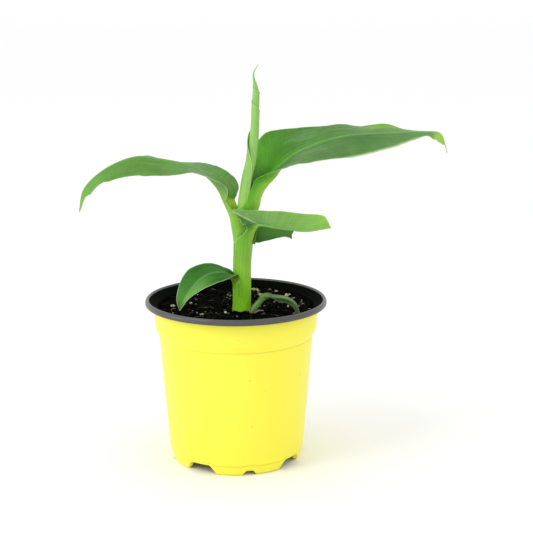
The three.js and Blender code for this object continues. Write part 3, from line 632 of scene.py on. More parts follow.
def leaf_sheet(name, leaf, nodes, tones, rows, half, wave, seed, material=LEAF,
               halves=("near", "far"), span=(0, None)):
    """A whole leaf in one closed sheet: sheath, stalk and blade. Its tracks go by millimetres along its path.

    The path is the leaf's back and midrib. Each half leaves it at a lift, bends by a curl and sweeps back,
    all in degrees.
    """
    path = route(leaf["path"])
    s = np.linspace(span[0], span[1] or path.length, rows)
    place, along, across, up = stations(path, s / path.length, leaf["side"])
    s = s - leaf.get("foot", 0)
    v = np.sin(np.linspace(0, math.pi / 2, half + 1))
    sides = {}
    for key, hand in (("near", 1), ("far", -1)):
        spec = leaf[key]
        width = track(spec["width"])(s) if key in halves else np.full(rows, 0.5)
        a = np.radians(track(spec["lift"])(s))[:, None]
        c = np.radians(np.maximum(track(spec["curl"])(s), 0.5))[:, None]
        back = np.radians(track(spec["sweep"])(s))
        out = hand * (np.sin(a + c * v) - np.sin(a)) / c
        rise = (np.cos(a) - np.cos(a + c * v)) / c
        surface = place[:, None] + width[:, None, None] * (
            np.cos(back)[:, None, None] * (out[..., None] * across[:, None] + rise[..., None] * up[:, None])
            - np.sin(back)[:, None, None] * v[None, :, None] * along[:, None])
        sides[key] = (surface, width[:, None] * v[None])
    surface = np.concatenate([sides["far"][0][:, :0:-1], sides["near"][0]], 1)
    reach = np.concatenate([-sides["far"][1][:, :0:-1], sides["near"][1]], 1)
    normal = unit(np.cross(np.gradient(surface, axis=0), np.gradient(surface, axis=1)))
    faces_up = np.einsum("ij,ij->i", normal[:, half], up).mean() > 0
    from_rib = np.clip(np.abs(reach) / 12, 0, 1) ** 1.5 * np.clip((s - leaf["blade"]) / 15, 0, 1)[:, None]
    surface = surface + normal * (wave * from_rib * ripple(surface, 13, seed))[..., None]
    edge_wave = 0.35 * wave * np.clip(np.abs(reach) / 8, 0, 1) ** 3 * ripple(surface, 3.5, seed + 1)
    surface = surface + normal * edge_wave[..., None]
    wide = np.where(reach < 0, np.abs(reach[:, :1]), np.abs(reach[:, -1:]))
    to_edge = np.clip(wide - np.abs(reach), 0, None)
    keel, rib_width, thick = (track(leaf[key])(s)[:, None] for key in ("keel", "rib", "thick"))
    rib = np.exp(-((reach / rib_width) ** 2))
    flank = np.exp(-((reach / (1.7 * rib_width)) ** 2))
    hair = [[noise.noise(Vector((a * 1.3, seed, 0.02 * b))) for a in row] for row, b in zip(reach, s)]
    hair = np.array(hair)
    body = thick / 2 * (0.35 + 0.65 * np.clip(to_edge / 1.0, 0, 1))
    proud = leaf.get("proud", 0) * (body + keel * flank)
    below = keel * (rib * (1 + 0.06 * hair) - flank) + 0.02 * hair * np.clip(to_edge, 0, 1) + proud
    above = np.maximum(2 * body + keel * flank - 0.15 * keel * rib - proud, 0.1)
    top, bottom = (above, below) if faces_up else (below, above)
    points, faces = closed_sheet(surface, top, bottom)
    length = s[:, None] - VEIN_SLANT * np.abs(reach) + VEIN_BEND * reach**2
    veined = np.clip((s - leaf["blade"] + 6) / 14, 0, 1)[:, None]
    lay_u = veined * length + (1 - veined) * (reach * 0.9 + 40)
    lay_v = veined * reach + (1 - veined) * s[:, None]
    coords = np.stack([lay_u, lay_v], -1).reshape(-1, 2)
    near_hem = track(leaf.get("hem", [(0, PLAIN_HEM), (1, PLAIN_HEM)]))(s)[:, None]
    margin = np.exp(-((to_edge / np.where(reach > 0, near_hem, PLAIN_HEM)) ** 2))
    upper, lower = tones(s[:, None] + 0 * reach, reach, rib, margin, surface)
    first, second = (upper, lower) if faces_up else (lower, upper)
    tint = np.clip(np.concatenate([first.reshape(-1, 3), second.reshape(-1, 3)]), 0, 1)
    mesh_piece(name, points, faces, tint, np.concatenate([coords, coords]), nodes, material)


def along_tones(keys, s):
    """Colours along a leaf, from (millimetres, screen colour) pairs or from one screen colour."""
    if isinstance(keys, tuple):
        return linear(*keys)
    tones = np.array([linear(*key[1]) for key in keys])
    return np.stack([np.interp(s, [key[0] for key in keys], tones[:, c]) for c in range(3)], -1)


def leaf_tones(near_top, far_top, near_low, far_low, rib_top, rib_low, edge, edge_low=None, seed=3, tip=None,
               gain=(1, 1, 1), gain_low=(1, 1, 1), sheen=0.3, crest=None):
    """Colours of both faces of a leaf, its rib and its edge, each as along_tones takes them.

    A tip is (start, length, tone) and a crest is (start, end, distance from the rib, tone).
    """

    def tones(s, reach, rib, margin, places):
        soft, bloom_and_sheen = ripple(places, 9, seed), ripple(places, 24, seed + 5)
        streak = ripple(np.stack([s / 16, reach, 0 * s], -1), 1.5, seed + 9)
        fine = ripple(np.stack([s / 30, reach - 0.1 * s, 0 * s], -1), 0.7, seed + 13)
        near = (reach > 0)[..., None]
        top = np.where(near, along_tones(near_top, s), along_tones(far_top, s))
        low = np.where(near, along_tones(near_low, s), along_tones(far_low, s))
        top = top * np.array(gain) * (1 + 0.09 * soft + 0.12 * bloom_and_sheen + 0.12 * streak + 0.1 * fine)[..., None]
        low = low * np.array(gain_low) * (1 + 0.07 * soft + 0.08 * bloom_and_sheen + 0.06 * streak)[..., None]
        # Grey streaks: partly the leaf's waxy bloom, partly painted sheen, capped by the sheen share.
        top = mixed(top, BLOOM_AND_SHEEN, np.clip(bloom_and_sheen * 1.1 + streak * 0.8 + fine * 0.5 - 0.25, 0, sheen))
        top = mixed(top, along_tones(rib_top, s), np.clip(rib, 0, 1) ** 3 * 0.85)
        low = mixed(low, along_tones(rib_low, s), np.clip(rib * 1.1, 0, 1) * 0.9)
        if crest is not None:
            first, last, inner, tone = crest
            turned = np.clip((s - first) / 9, 0, 1) * np.clip((last - s) / 6, 0, 1)
            top = mixed(top, linear(*tone), turned * np.clip((-reach - inner) / 1.2, 0, 1))
        if tip is not None:
            first, length, tone = tip
            out = np.clip((s - first) / length, 0, 1) * 0.85
            top, low = mixed(top, linear(*tone), out), mixed(low, linear(*tone), out)
        cracks = np.clip(ripple(places * np.array([1, 1, 0.35]), 1.1, 31) * 6 - 2.6, 0, 0.8)
        low = mixed(low, CRACK, cracks * np.clip((108 - places[..., 2]) / 3, 0, 1))
        rim_top, rim_low = along_tones(edge, s), along_tones(edge_low or edge, s)
        return mixed(top, rim_top, margin * 0.7), mixed(low, rim_low, margin * 0.8)

    return tones


# Each leaf's path, and how wide, lifted, curled and swept back its two halves are along it. A pair is a
# distance along the path and the value there, in millimetres or degrees. These starts are shared: no turn at
# all, the widths of three wrapped sheaths, and the curl with which a sheath wraps the stem.
FLAT = [(0, 0), (1, 0)]
LEFT_SHEATH = [(-10, 13.6), (0, 15.6), (12, 16.4), (20, 14.5)]
RIGHT_SHEATH = [(-10, 14.6), (0, 15.8), (12, 16)]
FRONT_SHEATH = [(-9.5, 17.4), (0, 18.2), (26, 18.3)]
WRAP = [(0, 172), (12, 168), (20, 140)]
LEFT = {
    "side": -90, "blade": 58, "foot": 10,
    "path": [(-0.2, -4, 128), (-0.6, -4, 138), (-1.7, -4, 150), (-2.9, -4, 158), (-4.2, -4, 165.4),
        (-6.8, -4.1, 172), (-12.1, -4.5, 183.3), (-18.8, -5.2, 191.2), (-25.4, -6.2, 195.9), (-31, -7, 198.9),
        (-50, -10, 203.5), (-65, -13, 205.2), (-82.7, -16, 198.5), (-96.3, -19, 186.5), (-100, -20.5, 171.5)],
    "near": {
        "width": [*LEFT_SHEATH, (27.6, 10.4), (34.6, 7.4), (40.8, 6), (47.1, 8.4), (52.4, 10.6), (57.6, 10.6),
            (61.6, 11.2), (65.7, 12), (72.2, 13), (80, 13.7), (92, 14), (104, 16.2), (113, 15.1), (124, 12.6),
            (130, 10.9), (134, 8.4), (140, 7.9), (146, 8.2), (150, 4.6), (153, 3.2), (161.4, 0.4)],
        "lift": [(0, 0), (20, 0), (34.6, -13), (40.8, -19), (47.1, 24), (52.4, 33), (57.6, 15), (61.6, 6),
            (65.7, 0), (76.6, -18), (95.3, -38), (161.4, -38)],
        "curl": [*WRAP, (27.6, 108), (34.6, 90), (40.8, 86), (47.1, 50), (52.4, 26), (57.6, 12), (61.6, 4),
            (65.7, 0.5), (161.4, 0.5)],
        "sweep": [(0, 0), (20, 0), (34.6, 20), (40.8, 29), (47.1, 35), (52.4, 41), (57.6, 22), (61.6, 6),
            (65.7, -6), (72.2, -4), (80, 0), (161.4, 0)],
    },
    "far": {
        "width": [*LEFT_SHEATH, (27.6, 11.5), (34.6, 10), (40.8, 11), (44, 12.6), (47, 14.4), (50, 17.5),
            (53, 19.5), (56, 20.3), (59, 19.9), (62, 19), (65, 17.7), (66.5, 17.2), (67.2, 16.9), (68, 16.6),
            (68.7, 16.4), (69.5, 16.1), (70.2, 15.9), (71, 15.7), (74, 15), (99, 15), (111.5, 15),
            (132.7, 10), (148.9, 4), (161.4, 0.4)],
        "lift": [(0, 0), (27.6, 5), (34.6, 15), (40.8, 20), (44, 30), (47, 43), (50, 46), (53, 43), (56, 41),
            (59, 38), (62, 35), (65, 36.8), (66.5, 38.2), (67.2, 39), (68, 37.5), (68.7, 33.4), (69.5, 29),
            (70.2, 26.1), (71, 23.2), (74, 20), (80, 7), (88, -3), (104, -5), (112, -12), (161.4, -8)],
        "curl": [*WRAP, (27.6, 110), (34.6, 90), (40.8, 60), (47.1, 40), (52.4, 20), (57.6, 10), (61.6, 5),
            (65.7, 0.5), (161.4, 0.5)],
        "sweep": [(0, 0), (20, 0), (27.6, 12), (34.6, 22), (40.8, 30), (44, 40), (47, 45), (50, 42), (53, 40),
            (56, 39), (59, 39.5), (62, 41), (65, 41), (66.5, 39.2), (67.2, 37.1), (68, 38), (68.7, 41.9),
            (69.5, 45.7), (70.2, 47.5), (71, 48.2), (74, 52), (80, 49), (88, 44), (95.3, 39), (104, 35),
            (118, 12), (128, 0), (161.4, 0)],
    },
    "keel": [(0, 0.3), (20, 0.5), (34.6, 1.4), (47, 2.0), (66, 2.0), (80, 1.5), (105, 1.0), (161, 0.3)],
    "rib": [(0, 8), (20, 7), (34.6, 4.2), (47, 3), (57, 2.4), (66, 2.1), (80, 1.6), (110, 1.1), (161, 0.5)],
    "thick": [(0, 1.0), (34, 1.1), (50, 0.6), (70, 0.4), (161, 0.34)],
}
RIGHT = {
    "side": -90, "blade": 56, "proud": 1, "foot": 10,
    "hem": [(0, 0.4), (104, 0.4), (116, 1.2), (158, 1.3), (168, 0.4), (187, 0.4)],
    "path": [(8.7, -4, 128), (9, -3.8, 138), (10, -3.4, 150), (11.4, -2.8, 160), (12.9, -2.2, 169.2),
        (13.7, -2, 173), (13.9, -1.6, 177.6), (15.6, -1, 183.3), (19, -0.2, 187.9), (23.7, 0.8, 192.6),
        (29.6, 1.9, 198.4), (43, 4, 208), (70, 6, 216.5), (100, 8, 218.5), (127, 10, 219), (135.5, 10, 217.5),
        (139, 10, 209), (139.9, 10, 204.6)],
    "near": {
        "width": [*RIGHT_SHEATH, (20, 15), (28, 13.4), (31.5, 12.4), (36, 11), (40, 9.4), (44, 8), (48, 7.4),
            (51.8, 7.6), (55.1, 7.6), (58.5, 7.8), (63.2, 8.6), (66.9, 10), (75.1, 13), (80, 15.6),
            (88, 17.3), (106, 21), (116, 22), (126, 20.6), (136, 17.5), (146, 14.4), (154, 11.2), (162, 7.6),
            (168, 5.2), (170, 5.7), (174, 9.4), (178, 11.4), (182, 6.8), (186, 1.3), (192, 0.35)],
        "lift": [(0, 0), (20, 3), (28, 11), (36, 14), (44, 13), (48, 21), (51.8, 37), (55.1, 23), (58.5, 10),
            (63.2, -6), (66.9, -13), (75.1, -25), (84.3, -28), (112.9, -33), (158.8, -30), (187.4, -24)],
        "curl": [(0, 172), (12, 165), (20, 130), (28, 105), (31.5, 95), (36, 90), (40, 84), (44, 74),
            (48, 60), (51.8, 50), (55.1, 30), (58.5, 15), (63.2, 5), (66.9, 0.5), (187.4, 0.5)],
        "sweep": [(0, 0), (36, 0), (40, 4), (44, 9), (48, 18), (51.8, 28), (55.1, 21), (58.5, 7), (63.2, 0),
            (160, 0), (166, 7), (172, 13), (175, 12), (178, 0), (182, -18), (186, -30), (192, 0)],
    },
    "far": {
        "width": [*RIGHT_SHEATH, (20, 13.5), (31.5, 8.5), (40, 8), (46, 10), (49.9, 13), (55.6, 21),
            (61.3, 27), (71.4, 29.2), (74, 29.4), (76, 28.8), (80, 26.6), (88, 23), (96, 20.8), (106, 18.8),
            (116, 19.2), (126, 18.8), (136, 18.5), (146, 16.6), (153, 15), (158, 11), (164, 4), (170, 1.8),
            (187, 0.6), (192, 0.35)],
        "lift": [(0, 0), (20, 0), (31.5, 10), (40, 10), (46, 25), (51, 40), (61, 43), (71.4, 43), (84.3, 32),
            (112.9, 18), (127.3, 9), (144.4, 14), (158.8, -2), (187.4, 0)],
        "curl": [*WRAP, (31.5, 95), (40, 85), (46, 50), (51, 20), (57, 5), (61, 0.5), (187.4, 0.5)],
        "sweep": FLAT,
    },
    "keel": [(0, 0.3), (20, 0.6), (31.5, 1.4), (40, 2.6), (46, 3.4), (52, 3.8), (58, 3.4), (70, 2.2),
        (90, 1.6), (130, 1.0), (187, 0.3)],
    "rib": [(0, 8), (20, 7), (31.5, 4.2), (46, 3.2), (58, 2.6), (70, 2.0), (90, 1.5), (140, 1.0), (187, 0.5)],
    "thick": [(0, 1.0), (34, 1.2), (50, 0.7), (70, 0.4), (187, 0.34)],
}
FRONT = {
    "side": -110, "blade": 50, "foot": 9.5,
    "path": [(9.1, -6, 100.5), (9.6, -6.1, 110), (9.7, -6.1, 128), (9.9, -6.4, 136), (10.6, -7.4, 143),
        (11.2, -9, 149.5), (12.2, -11.2, 154.5), (14, -13.2, 158.6), (17, -14.6, 160.7), (30, -19, 159.2),
        (45, -23, 158.4), (55, -26, 160.4), (61, -28, 161.8)],
    "near": {
        "width": [*FRONT_SHEATH, (33.3, 15.6), (40, 13.7), (45.2, 8.4), (48, 7), (49, 7.6), (50, 8.5),
            (51, 10.6), (52, 13), (53, 15.6), (54, 19.2), (54.8, 22.2), (60, 19.5), (64, 16.3), (68, 14.5),
            (74, 13.6), (80.4, 12.7), (89.1, 11.5), (95.6, 9.8), (98.7, 8.2), (99, 7.9), (99.2, 6.8),
            (99.6, 6.2), (101.07, 1)],
        "lift": [(0, 0), (40, 0), (45.2, 10), (48, 28), (49, 34), (50, 40), (51, 46), (52, 52), (53, 56),
            (54, 60), (54.8, 64), (56, 74), (58, 80), (89, 80), (101, 78)],
        "curl": [(0, 174), (26, 172), (33.3, 146), (40, 133), (45.2, 85), (48, 45), (49, 30), (50, 20),
            (51, 12), (52, 6), (53, 3), (54.6, 1), (60, 4), (64, 12), (68, 14), (74, 16), (101, 18)],
        "sweep": [(0, 0), (40, 0), (45.2, 2), (48, -7), (49, -4), (50, 2), (51, -1), (52, 10), (53, 41),
            (54, 54), (54.8, 59), (57, 64), (60, 64), (64, 52), (68, 38), (74, 24), (80.4, 12), (89.1, -3),
            (101, -1)],
    },
    "far": {
        "width": [*FRONT_SHEATH, (33.3, 15), (40, 11), (45.2, 8), (48, 6), (50.3, 4), (53, 1.8), (56, 0.8),
            (101, 0.5)],
        "lift": FLAT, "curl": [(0, 174), (26, 172), (33.3, 142), (40, 116), (50, 80), (56, 20), (101, 10)],
        "sweep": FLAT,
    },
    "keel": [(0, 0.2), (28, 0.3), (36, 0.8), (44, 1.4), (52, 1.5), (60, 1.0), (75, 0.7), (101, 0.2)],
    "rib": [(0, 8), (30, 7), (40, 5), (50, 3.2), (56, 2.0), (64, 1.2), (101, 0.6)],
    "thick": [(0, 0.7), (34, 0.8), (46, 0.8), (54, 0.5), (101, 0.36)],
}
FRONT_BACK = {
    **FRONT, "blade": 40,
    "far": {
        "width": [(49.5, 12.6), (51, 12.5), (52, 12.9), (53.5, 14.4), (55, 13.7), (58, 11.6), (61, 9.2),
            (64, 7.3), (67, 6.3), (70, 6.4), (71.5, 7.3), (72.6, 5.4), (76, 0.6)],
        "lift": [(50, -60), (60, -64), (76, -66)], "curl": [(50, 0.5), (76, 0.5)],
        "sweep": [(49.5, 82), (51, 80), (52, 65), (53.5, 25), (55, 12), (58, 2), (61, -9), (64, -20),
            (67, -31), (70, -27), (71.5, -26), (72.6, -24), (76, 0)],
    },
    "keel": [(50, 0.1), (76, 0.1)], "rib": [(50, 1), (76, 0.8)], "thick": [(50, 0.4), (76, 0.34)],
}
LOW = {
    "side": -70, "blade": 26,
    "path": [(-2.5, -6.5, 101.6), (-1.9, -6.2, 106), (-1.7, -6.2, 112), (-1.6, -6.6, 116), (-2.2, -8, 120.5),
        (-3.2, -9.6, 124), (-5.2, -11.4, 127.2), (-9, -13.2, 129), (-17, -16, 129), (-26, -19, 124),
        (-33, -22, 115), (-36.5, -24, 107)],
    "near": {
        "width": [(0, 17.6), (3, 17.4), (10, 16), (12.5, 11), (14.5, 8), (19.2, 6.3), (23.2, 6.4), (27.4, 7),
            (29.8, 7), (32.1, 7.5), (36.4, 8), (40.6, 9), (52.3, 7.2), (62.3, 3.2), (72.2, 0.4)],
        "lift": [(0, 0), (10, 0), (14.5, 40), (19.2, 45), (23.2, 30), (27.4, 26), (29.8, 1), (32.1, -18),
            (36.4, -31), (72.2, -32)],
        "curl": [(0, 176), (6, 172), (10, 158), (14.5, 80), (19.2, 66), (23.2, 60), (27.4, 30), (29.8, 15),
            (32.1, 5), (36.4, 0.5), (72.2, 0.5)],
        "sweep": [(0, 0), (14.5, 2), (19.2, 4), (23.2, 5), (27.4, 21), (29.8, 25), (32.1, 13), (36.4, 7),
            (40.6, -4), (50, 0), (72.2, 0)],
    },
    "far": {
        "width": [(0, 17.6), (3, 17.4), (10, 16), (14.5, 12), (19.2, 8), (23.2, 6.2), (27.4, 7), (29.8, 7.5),
            (32.1, 8), (36.4, 9.8), (42, 11.6), (48, 12.2), (54, 10.6), (62.3, 7.4), (68.7, 3.8),
            (72.2, 0.4)],
        "lift": [(0, 0), (10, 0), (19.2, 20), (23.2, 32), (27.4, 36), (32.1, 24), (36.4, 26), (40, 28),
            (52.4, 36), (72.2, 40)],
        "curl": [(0, 176), (6, 172), (10, 160), (14.5, 130), (19.2, 90), (23.2, 60), (27.4, 30), (29.8, 15),
            (32.1, 5), (36.4, 0.5), (72.2, 0.5)],
        "sweep": [(0, 0), (19.2, 4), (23.2, 12), (27.4, 44), (29.8, 42), (32.1, 35), (36.4, 24), (40.6, 8),
            (46, 0), (72.2, 0)],
    },
    "keel": [(0, 0.2), (12, 0.4), (20, 0.9), (28, 0.8), (36, 0.6), (72, 0.2)],
    "rib": [(0, 8), (14, 6), (22, 3), (28, 1.6), (36, 1.0), (72, 0.5)],
    "thick": [(0, 0.8), (14, 0.9), (24, 0.6), (32, 0.4), (72, 0.34)],
}
WITHERED = {
    "side": -90, "blade": 6,
    "path": [(11.8, -10.4, 100.6), (13.2, -11, 103), (15.4, -11.2, 106), (17.6, -11.3, 108.8),
        (19.8, -11.3, 110.6), (23.4, -11.3, 111.4), (29, -11.2, 111.4), (34.6, -11, 110.2), (39, -11, 107),
        (41, -11, 102.6)],
    "near": {
        "width": [(0, 4.2), (4, 5), (9, 4.6), (13, 3.6), (16, 3.2), (28, 3.0), (38, 3.2), (43, 2.4),
            (49, 0.5)],
        "lift": [(0, 20), (10, 30), (16, 10), (22, -34), (34, -40), (49, -30)],
        "curl": [(0, 100), (10, 90), (16, 40), (22, 6), (49, 4)], "sweep": FLAT,
    },
    "far": {
        "width": [(0, 4.2), (4, 5), (9, 4.4), (13, 5), (16, 5), (20, 4), (28, 3.6), (38, 3.8), (43, 2.8),
            (49, 0.5)],
        "lift": [(0, 20), (10, 30), (16, 40), (22, 26), (34, 12), (49, 4)],
        "curl": [(0, 100), (10, 90), (16, 40), (22, 6), (49, 4)],
        "sweep": [(0, 0), (13, 10), (20, 30), (26, 10), (32, 0), (49, 0)],
    },
    "keel": [(0, 0.3), (10, 0.5), (20, 0.5), (49, 0.2)], "rib": [(0, 1.6), (14, 1.4), (22, 0.8), (49, 0.5)],
    "thick": [(0, 0.5), (49, 0.4)],
}
HUSK = {
    "side": -90, "blade": 2,
    "path": [(7.4, -11.4, 104.6), (8.6, -12.4, 103.2), (10.2, -13.4, 101.8), (11.6, -14, 100.4)],
    "near": {
        "width": [(0, 0.5), (2, 0.9), (4, 0.8), (7.3, 0.4)], "lift": [(0, -20), (7, -50)],
        "curl": [(0, 70), (7, 70)], "sweep": FLAT,
    },
    "far": {
        "width": [(0, 0.5), (2, 1.1), (4, 0.9), (7.3, 0.4)], "lift": [(0, 40), (7, 30)],
        "curl": [(0, 70), (7, 60)], "sweep": FLAT,
    },
    "keel": [(0, 0.15), (7, 0.1)], "rib": [(0, 0.5), (7, 0.4)], "thick": [(0, 0.35), (7, 0.3)],
}
SECOND_HUSK = {
    **HUSK, "path": [(11.8, -12.8, 100.6), (13.2, -12.8, 102.6), (15.4, -12.4, 103.6), (18.2, -11.8, 103.4)],
}
ROLLED = {
    "side": -90,
    "path": [(4.6, -4.5, 166), (4.9, -4.5, 173), (7.3, -4, 189.4), (10, -3.4, 201), (11.4, -3, 211),
        (12.7, -2, 224.5), (13.1, -1, 236), (13.4, 0, 247.5), (12, 0, 255.5), (12.4, 0, 259.5),
        (14.9, 0, 263.5)],
    "radius": [(0, 3.7), (0.24, 3.5), (0.36, 3.5), (0.47, 3.4), (0.6, 2.8), (0.72, 2.6), (0.8, 2.3),
        (0.86, 1.4), (0.91, 0.7), (0.95, 0.4), (1, 0.2)],
    "free_edge": [(166, 66), (186, 52), (199, 16), (208, -32), (217, -84), (227, -180), (234, -270),
        (237.4, -360), (240.2, -450), (246, -630), (249.6, -800), (264, -900)],
    "flare": [(166, 0), (203, 0.02), (210, 0.3), (218, 0.24), (224, 0.04), (240, 0.06), (247, 0.14),
        (252, 0.02), (264, 0)],
}
TRUNK = {
    "foot": 101.6, "top": 164, "centre_x": [(101, 3.7), (145, 4.2), (156, 4.8), (165, 5)],
    "centre_y": [(101, -4.1), (145, -4), (165, -3.4)],
    "wide": [(101, 6.9), (103, 6.2), (107, 5.95), (125, 5.9), (143, 5.7), (154, 6.4), (165, 6.6)],
    "deep": [(101, 6.8), (103, 6.1), (107, 5.9), (125, 5.8), (143, 5.4), (165, 4.4)],
}

# Screen colours along the leaves: near and far are the halves, and top and low are the two faces.
left_tones = leaf_tones(
    near_top=[(0, (126, 176, 50)), (50, (110, 160, 70)), (66, (104, 148, 84)), (76, (104, 150, 82)),
        (96, (100, 150, 70)), (130, (100, 150, 70)), (161, (124, 176, 76))],
    far_top=[(0, (180, 226, 70)), (38, (186, 234, 52)), (41.5, (172, 222, 40)), (46, (98, 156, 40)),
        (52, (104, 150, 76)), (60, (110, 154, 88)), (70, (100, 146, 86)), (84, (112, 150, 100)),
        (112, (116, 154, 106)), (130, (104, 152, 84)), (161, (124, 176, 76))],
    near_low=[(0, (124, 180, 54)), (30, (128, 184, 60)), (40, (136, 188, 76)), (46, (124, 170, 88)),
        (52, (108, 150, 90)), (60, (120, 160, 104)), (68, UNDER)],
    far_low=[(0, (120, 176, 54)), (40, (124, 176, 70)), (55, UNDER)],
    rib_top=[(0, (120, 170, 30)), (45, (104, 160, 30)), (58, (84, 146, 50)), (66, (92, 164, 50)),
        (78, (104, 164, 62)), (100, (110, 158, 84)), (161, (112, 160, 84))],
    rib_low=[(0, (128, 184, 56)), (36, (134, 190, 66)), (50, (126, 186, 60)), (66, (120, 182, 56)),
        (90, (122, 176, 74))],
    edge=[(0, (150, 196, 96)), (40, (186, 204, 150)), (62, (176, 200, 136)), (72, (124, 176, 58)),
        (140, (124, 176, 58)), (161, (196, 206, 150))],
    edge_low=[(0, (140, 194, 84)), (30, (150, 194, 104)), (44, (172, 198, 140)), (161, (190, 204, 160))],
    seed=3, gain=(0.8, 0.87, 0.66), gain_low=(0.98, 0.96, 0.98))
right_tones = leaf_tones(
    # The near top's greyer greens from 60 mm on are the leaf's green greyed in part by painted sheen from the
    # lamps.
    near_top=[(0, (90, 140, 40)), (60, (96, 138, 78)), (76, (106, 144, 92)), (100, (106, 146, 92)),
        (130, (100, 148, 84)), (150, (120, 160, 110)), (187, (128, 176, 96))],
    # Painted shade: the dark green from 50 to 55 mm stands for the stalk's channel in shade.
    far_top=[(0, (90, 140, 40)), (50, (66, 126, 10)), (55, (80, 150, 16)), (62, (96, 172, 34)),
        (72, (90, 158, 40)), (84, (88, 146, 58)), (100, (98, 148, 76)), (135, (104, 150, 82)),
        (160, (128, 168, 100)), (187, (140, 196, 76))],
    # Painted shade: the near underside's darker greens at 46 to 52 mm stand for the shade in the stalk's
    # channel.
    near_low=[(0, (104, 162, 40)), (31, (108, 172, 50)), (40, (98, 164, 46)), (46, (84, 156, 44)),
        (52, (72, 146, 36)), (59, (92, 164, 40)), (66, UNDER)],
    far_low=[(0, (120, 178, 50)), (40, (128, 182, 60)), (55, UNDER)],
    rib_top=[(0, (80, 130, 30)), (55, (74, 140, 30)), (66, (92, 166, 50)), (90, (100, 168, 58)),
        (120, (112, 168, 74)), (187, (124, 172, 84))],
    # The yellowish rib underside from 31 to 46 mm is a painted highlight on the stalk's lit edge.
    rib_low=[(0, (140, 190, 60)), (31, (152, 198, 76)), (46, (156, 200, 76)), (58, (134, 186, 44)),
        (66, (110, 172, 30)), (90, (120, 170, 80))],
    edge=[(90, (190, 214, 160)), (116, (208, 224, 172)), (158, (208, 224, 172)), (170, (190, 214, 160))],
    edge_low=[(0, (130, 180, 70)), (46, (110, 172, 60)), (52, (120, 176, 90)), (187, (176, 206, 140))],
    seed=7, crest=(125, 168, 8.3, (100, 160, 14)), tip=(172, 6, (150, 196, 70)), gain=(0.56, 0.68, 0.42),
    gain_low=(0.94, 1.0, 0.62))
front_tones = leaf_tones(
    near_top=[(0, (90, 140, 40)), (50, (80, 128, 62)), (101, (92, 142, 72))],
    far_top=[(0, (90, 140, 40)), (101, (72, 116, 52))],
    # Painted light on the near underside: the dark band from 50 to 53.8 mm is painted shade on the base fold
    # facing down, and the whitish line at 54.5 mm is a painted highlight along the crease.
    near_low=[(-9, (140, 208, 28)), (0, (136, 204, 36)), (14, (134, 197, 48)), (24, (138, 194, 68)),
        (34, (126, 184, 60)), (40, (110, 172, 54)), (45, (104, 168, 54)), (48.2, (104, 162, 62)),
        (50, (86, 138, 66)), (53.8, (80, 132, 62)), (54.5, (176, 198, 152)), (55.3, (120, 162, 104)),
        (60, (124, 168, 98)), (75, (128, 176, 92)), (90, (134, 184, 92)), (101, (150, 198, 84))],
    far_low=[(-9, (140, 198, 28)), (14, (132, 190, 42)), (30, (128, 186, 60)), (46, (130, 186, 54)),
        (60, (120, 176, 70)), (101, UNDER)],
    rib_top=[(0, (110, 170, 40)), (101, (100, 150, 70))],
    rib_low=[(-9, (140, 208, 30)), (0, (140, 206, 38)), (14, (144, 202, 54)), (28, (146, 194, 72)),
        (44, (152, 198, 78)), (52, (144, 200, 60)), (57, (132, 186, 70)), (64, (126, 176, 86)),
        (101, (136, 186, 92))],
    edge=(190, 204, 160),
    edge_low=[(0, (150, 200, 110)), (26, (172, 208, 140)), (48, (176, 208, 140)), (56, (150, 196, 96)),
        (101, (160, 206, 90))],
    seed=10, gain=(0.8, 0.85, 0.7), gain_low=(0.82, 0.88, 0.68))
# Painted shade: the back half gets dark greens on both faces, standing for the shade it hangs in under the
# near half.
shaded_back_tones = leaf_tones(
    near_top=(80, 128, 62), far_top=[(50, (66, 110, 46)), (76, (76, 120, 56))],
    near_low=[(50, (70, 114, 48)), (76, (76, 124, 56))],
    far_low=[(50, (64, 108, 42)), (62, (70, 116, 50)), (76, (80, 128, 60))], rib_top=(80, 128, 60),
    rib_low=[(50, (78, 126, 56)), (76, (80, 128, 60))], edge=(104, 146, 84), seed=12)
low_tones = leaf_tones(
    near_top=[(0, (60, 100, 20)), (24, (50, 92, 26)), (30, (66, 116, 50)), (42, (82, 134, 64)),
        (56, (156, 180, 144)), (66, (168, 192, 156)), (72, (120, 96, 60))],
    far_top=[(0, (60, 100, 20)), (24, (60, 108, 40)), (34, (76, 124, 60)), (45, (66, 120, 50)),
        (58, (84, 140, 66)), (66, (104, 156, 84)), (72, (120, 96, 60))],
    # Painted shade: the darker greens at 24 to 28 mm here and on the rib below stand for the shade just under
    # the blade.
    near_low=[(0, (136, 204, 34)), (6, (138, 204, 38)), (14, (146, 202, 52)), (20, (126, 186, 50)),
        (24, (96, 150, 34)), (28, (64, 110, 28)), (36, UNDER)],
    far_low=[(0, (142, 198, 30)), (6, (144, 200, 36)), (20, (116, 172, 40)), (36, UNDER)],
    rib_top=[(0, (60, 100, 20)), (26, (76, 122, 56)), (40, (86, 138, 66)), (72, (92, 146, 72))],
    rib_low=[(0, (136, 204, 36)), (14, (140, 204, 52)), (22, (120, 180, 42)), (28, (80, 134, 40)),
        (72, (110, 160, 80))],
    edge=(170, 196, 140),
    edge_low=[(0, (120, 170, 40)), (10, (140, 186, 70)), (22, (150, 190, 90)), (28, (150, 184, 110))],
    seed=14, gain=(0.34, 0.66, 0.18), gain_low=(1.06, 1.06, 0.9), sheen=0.07)
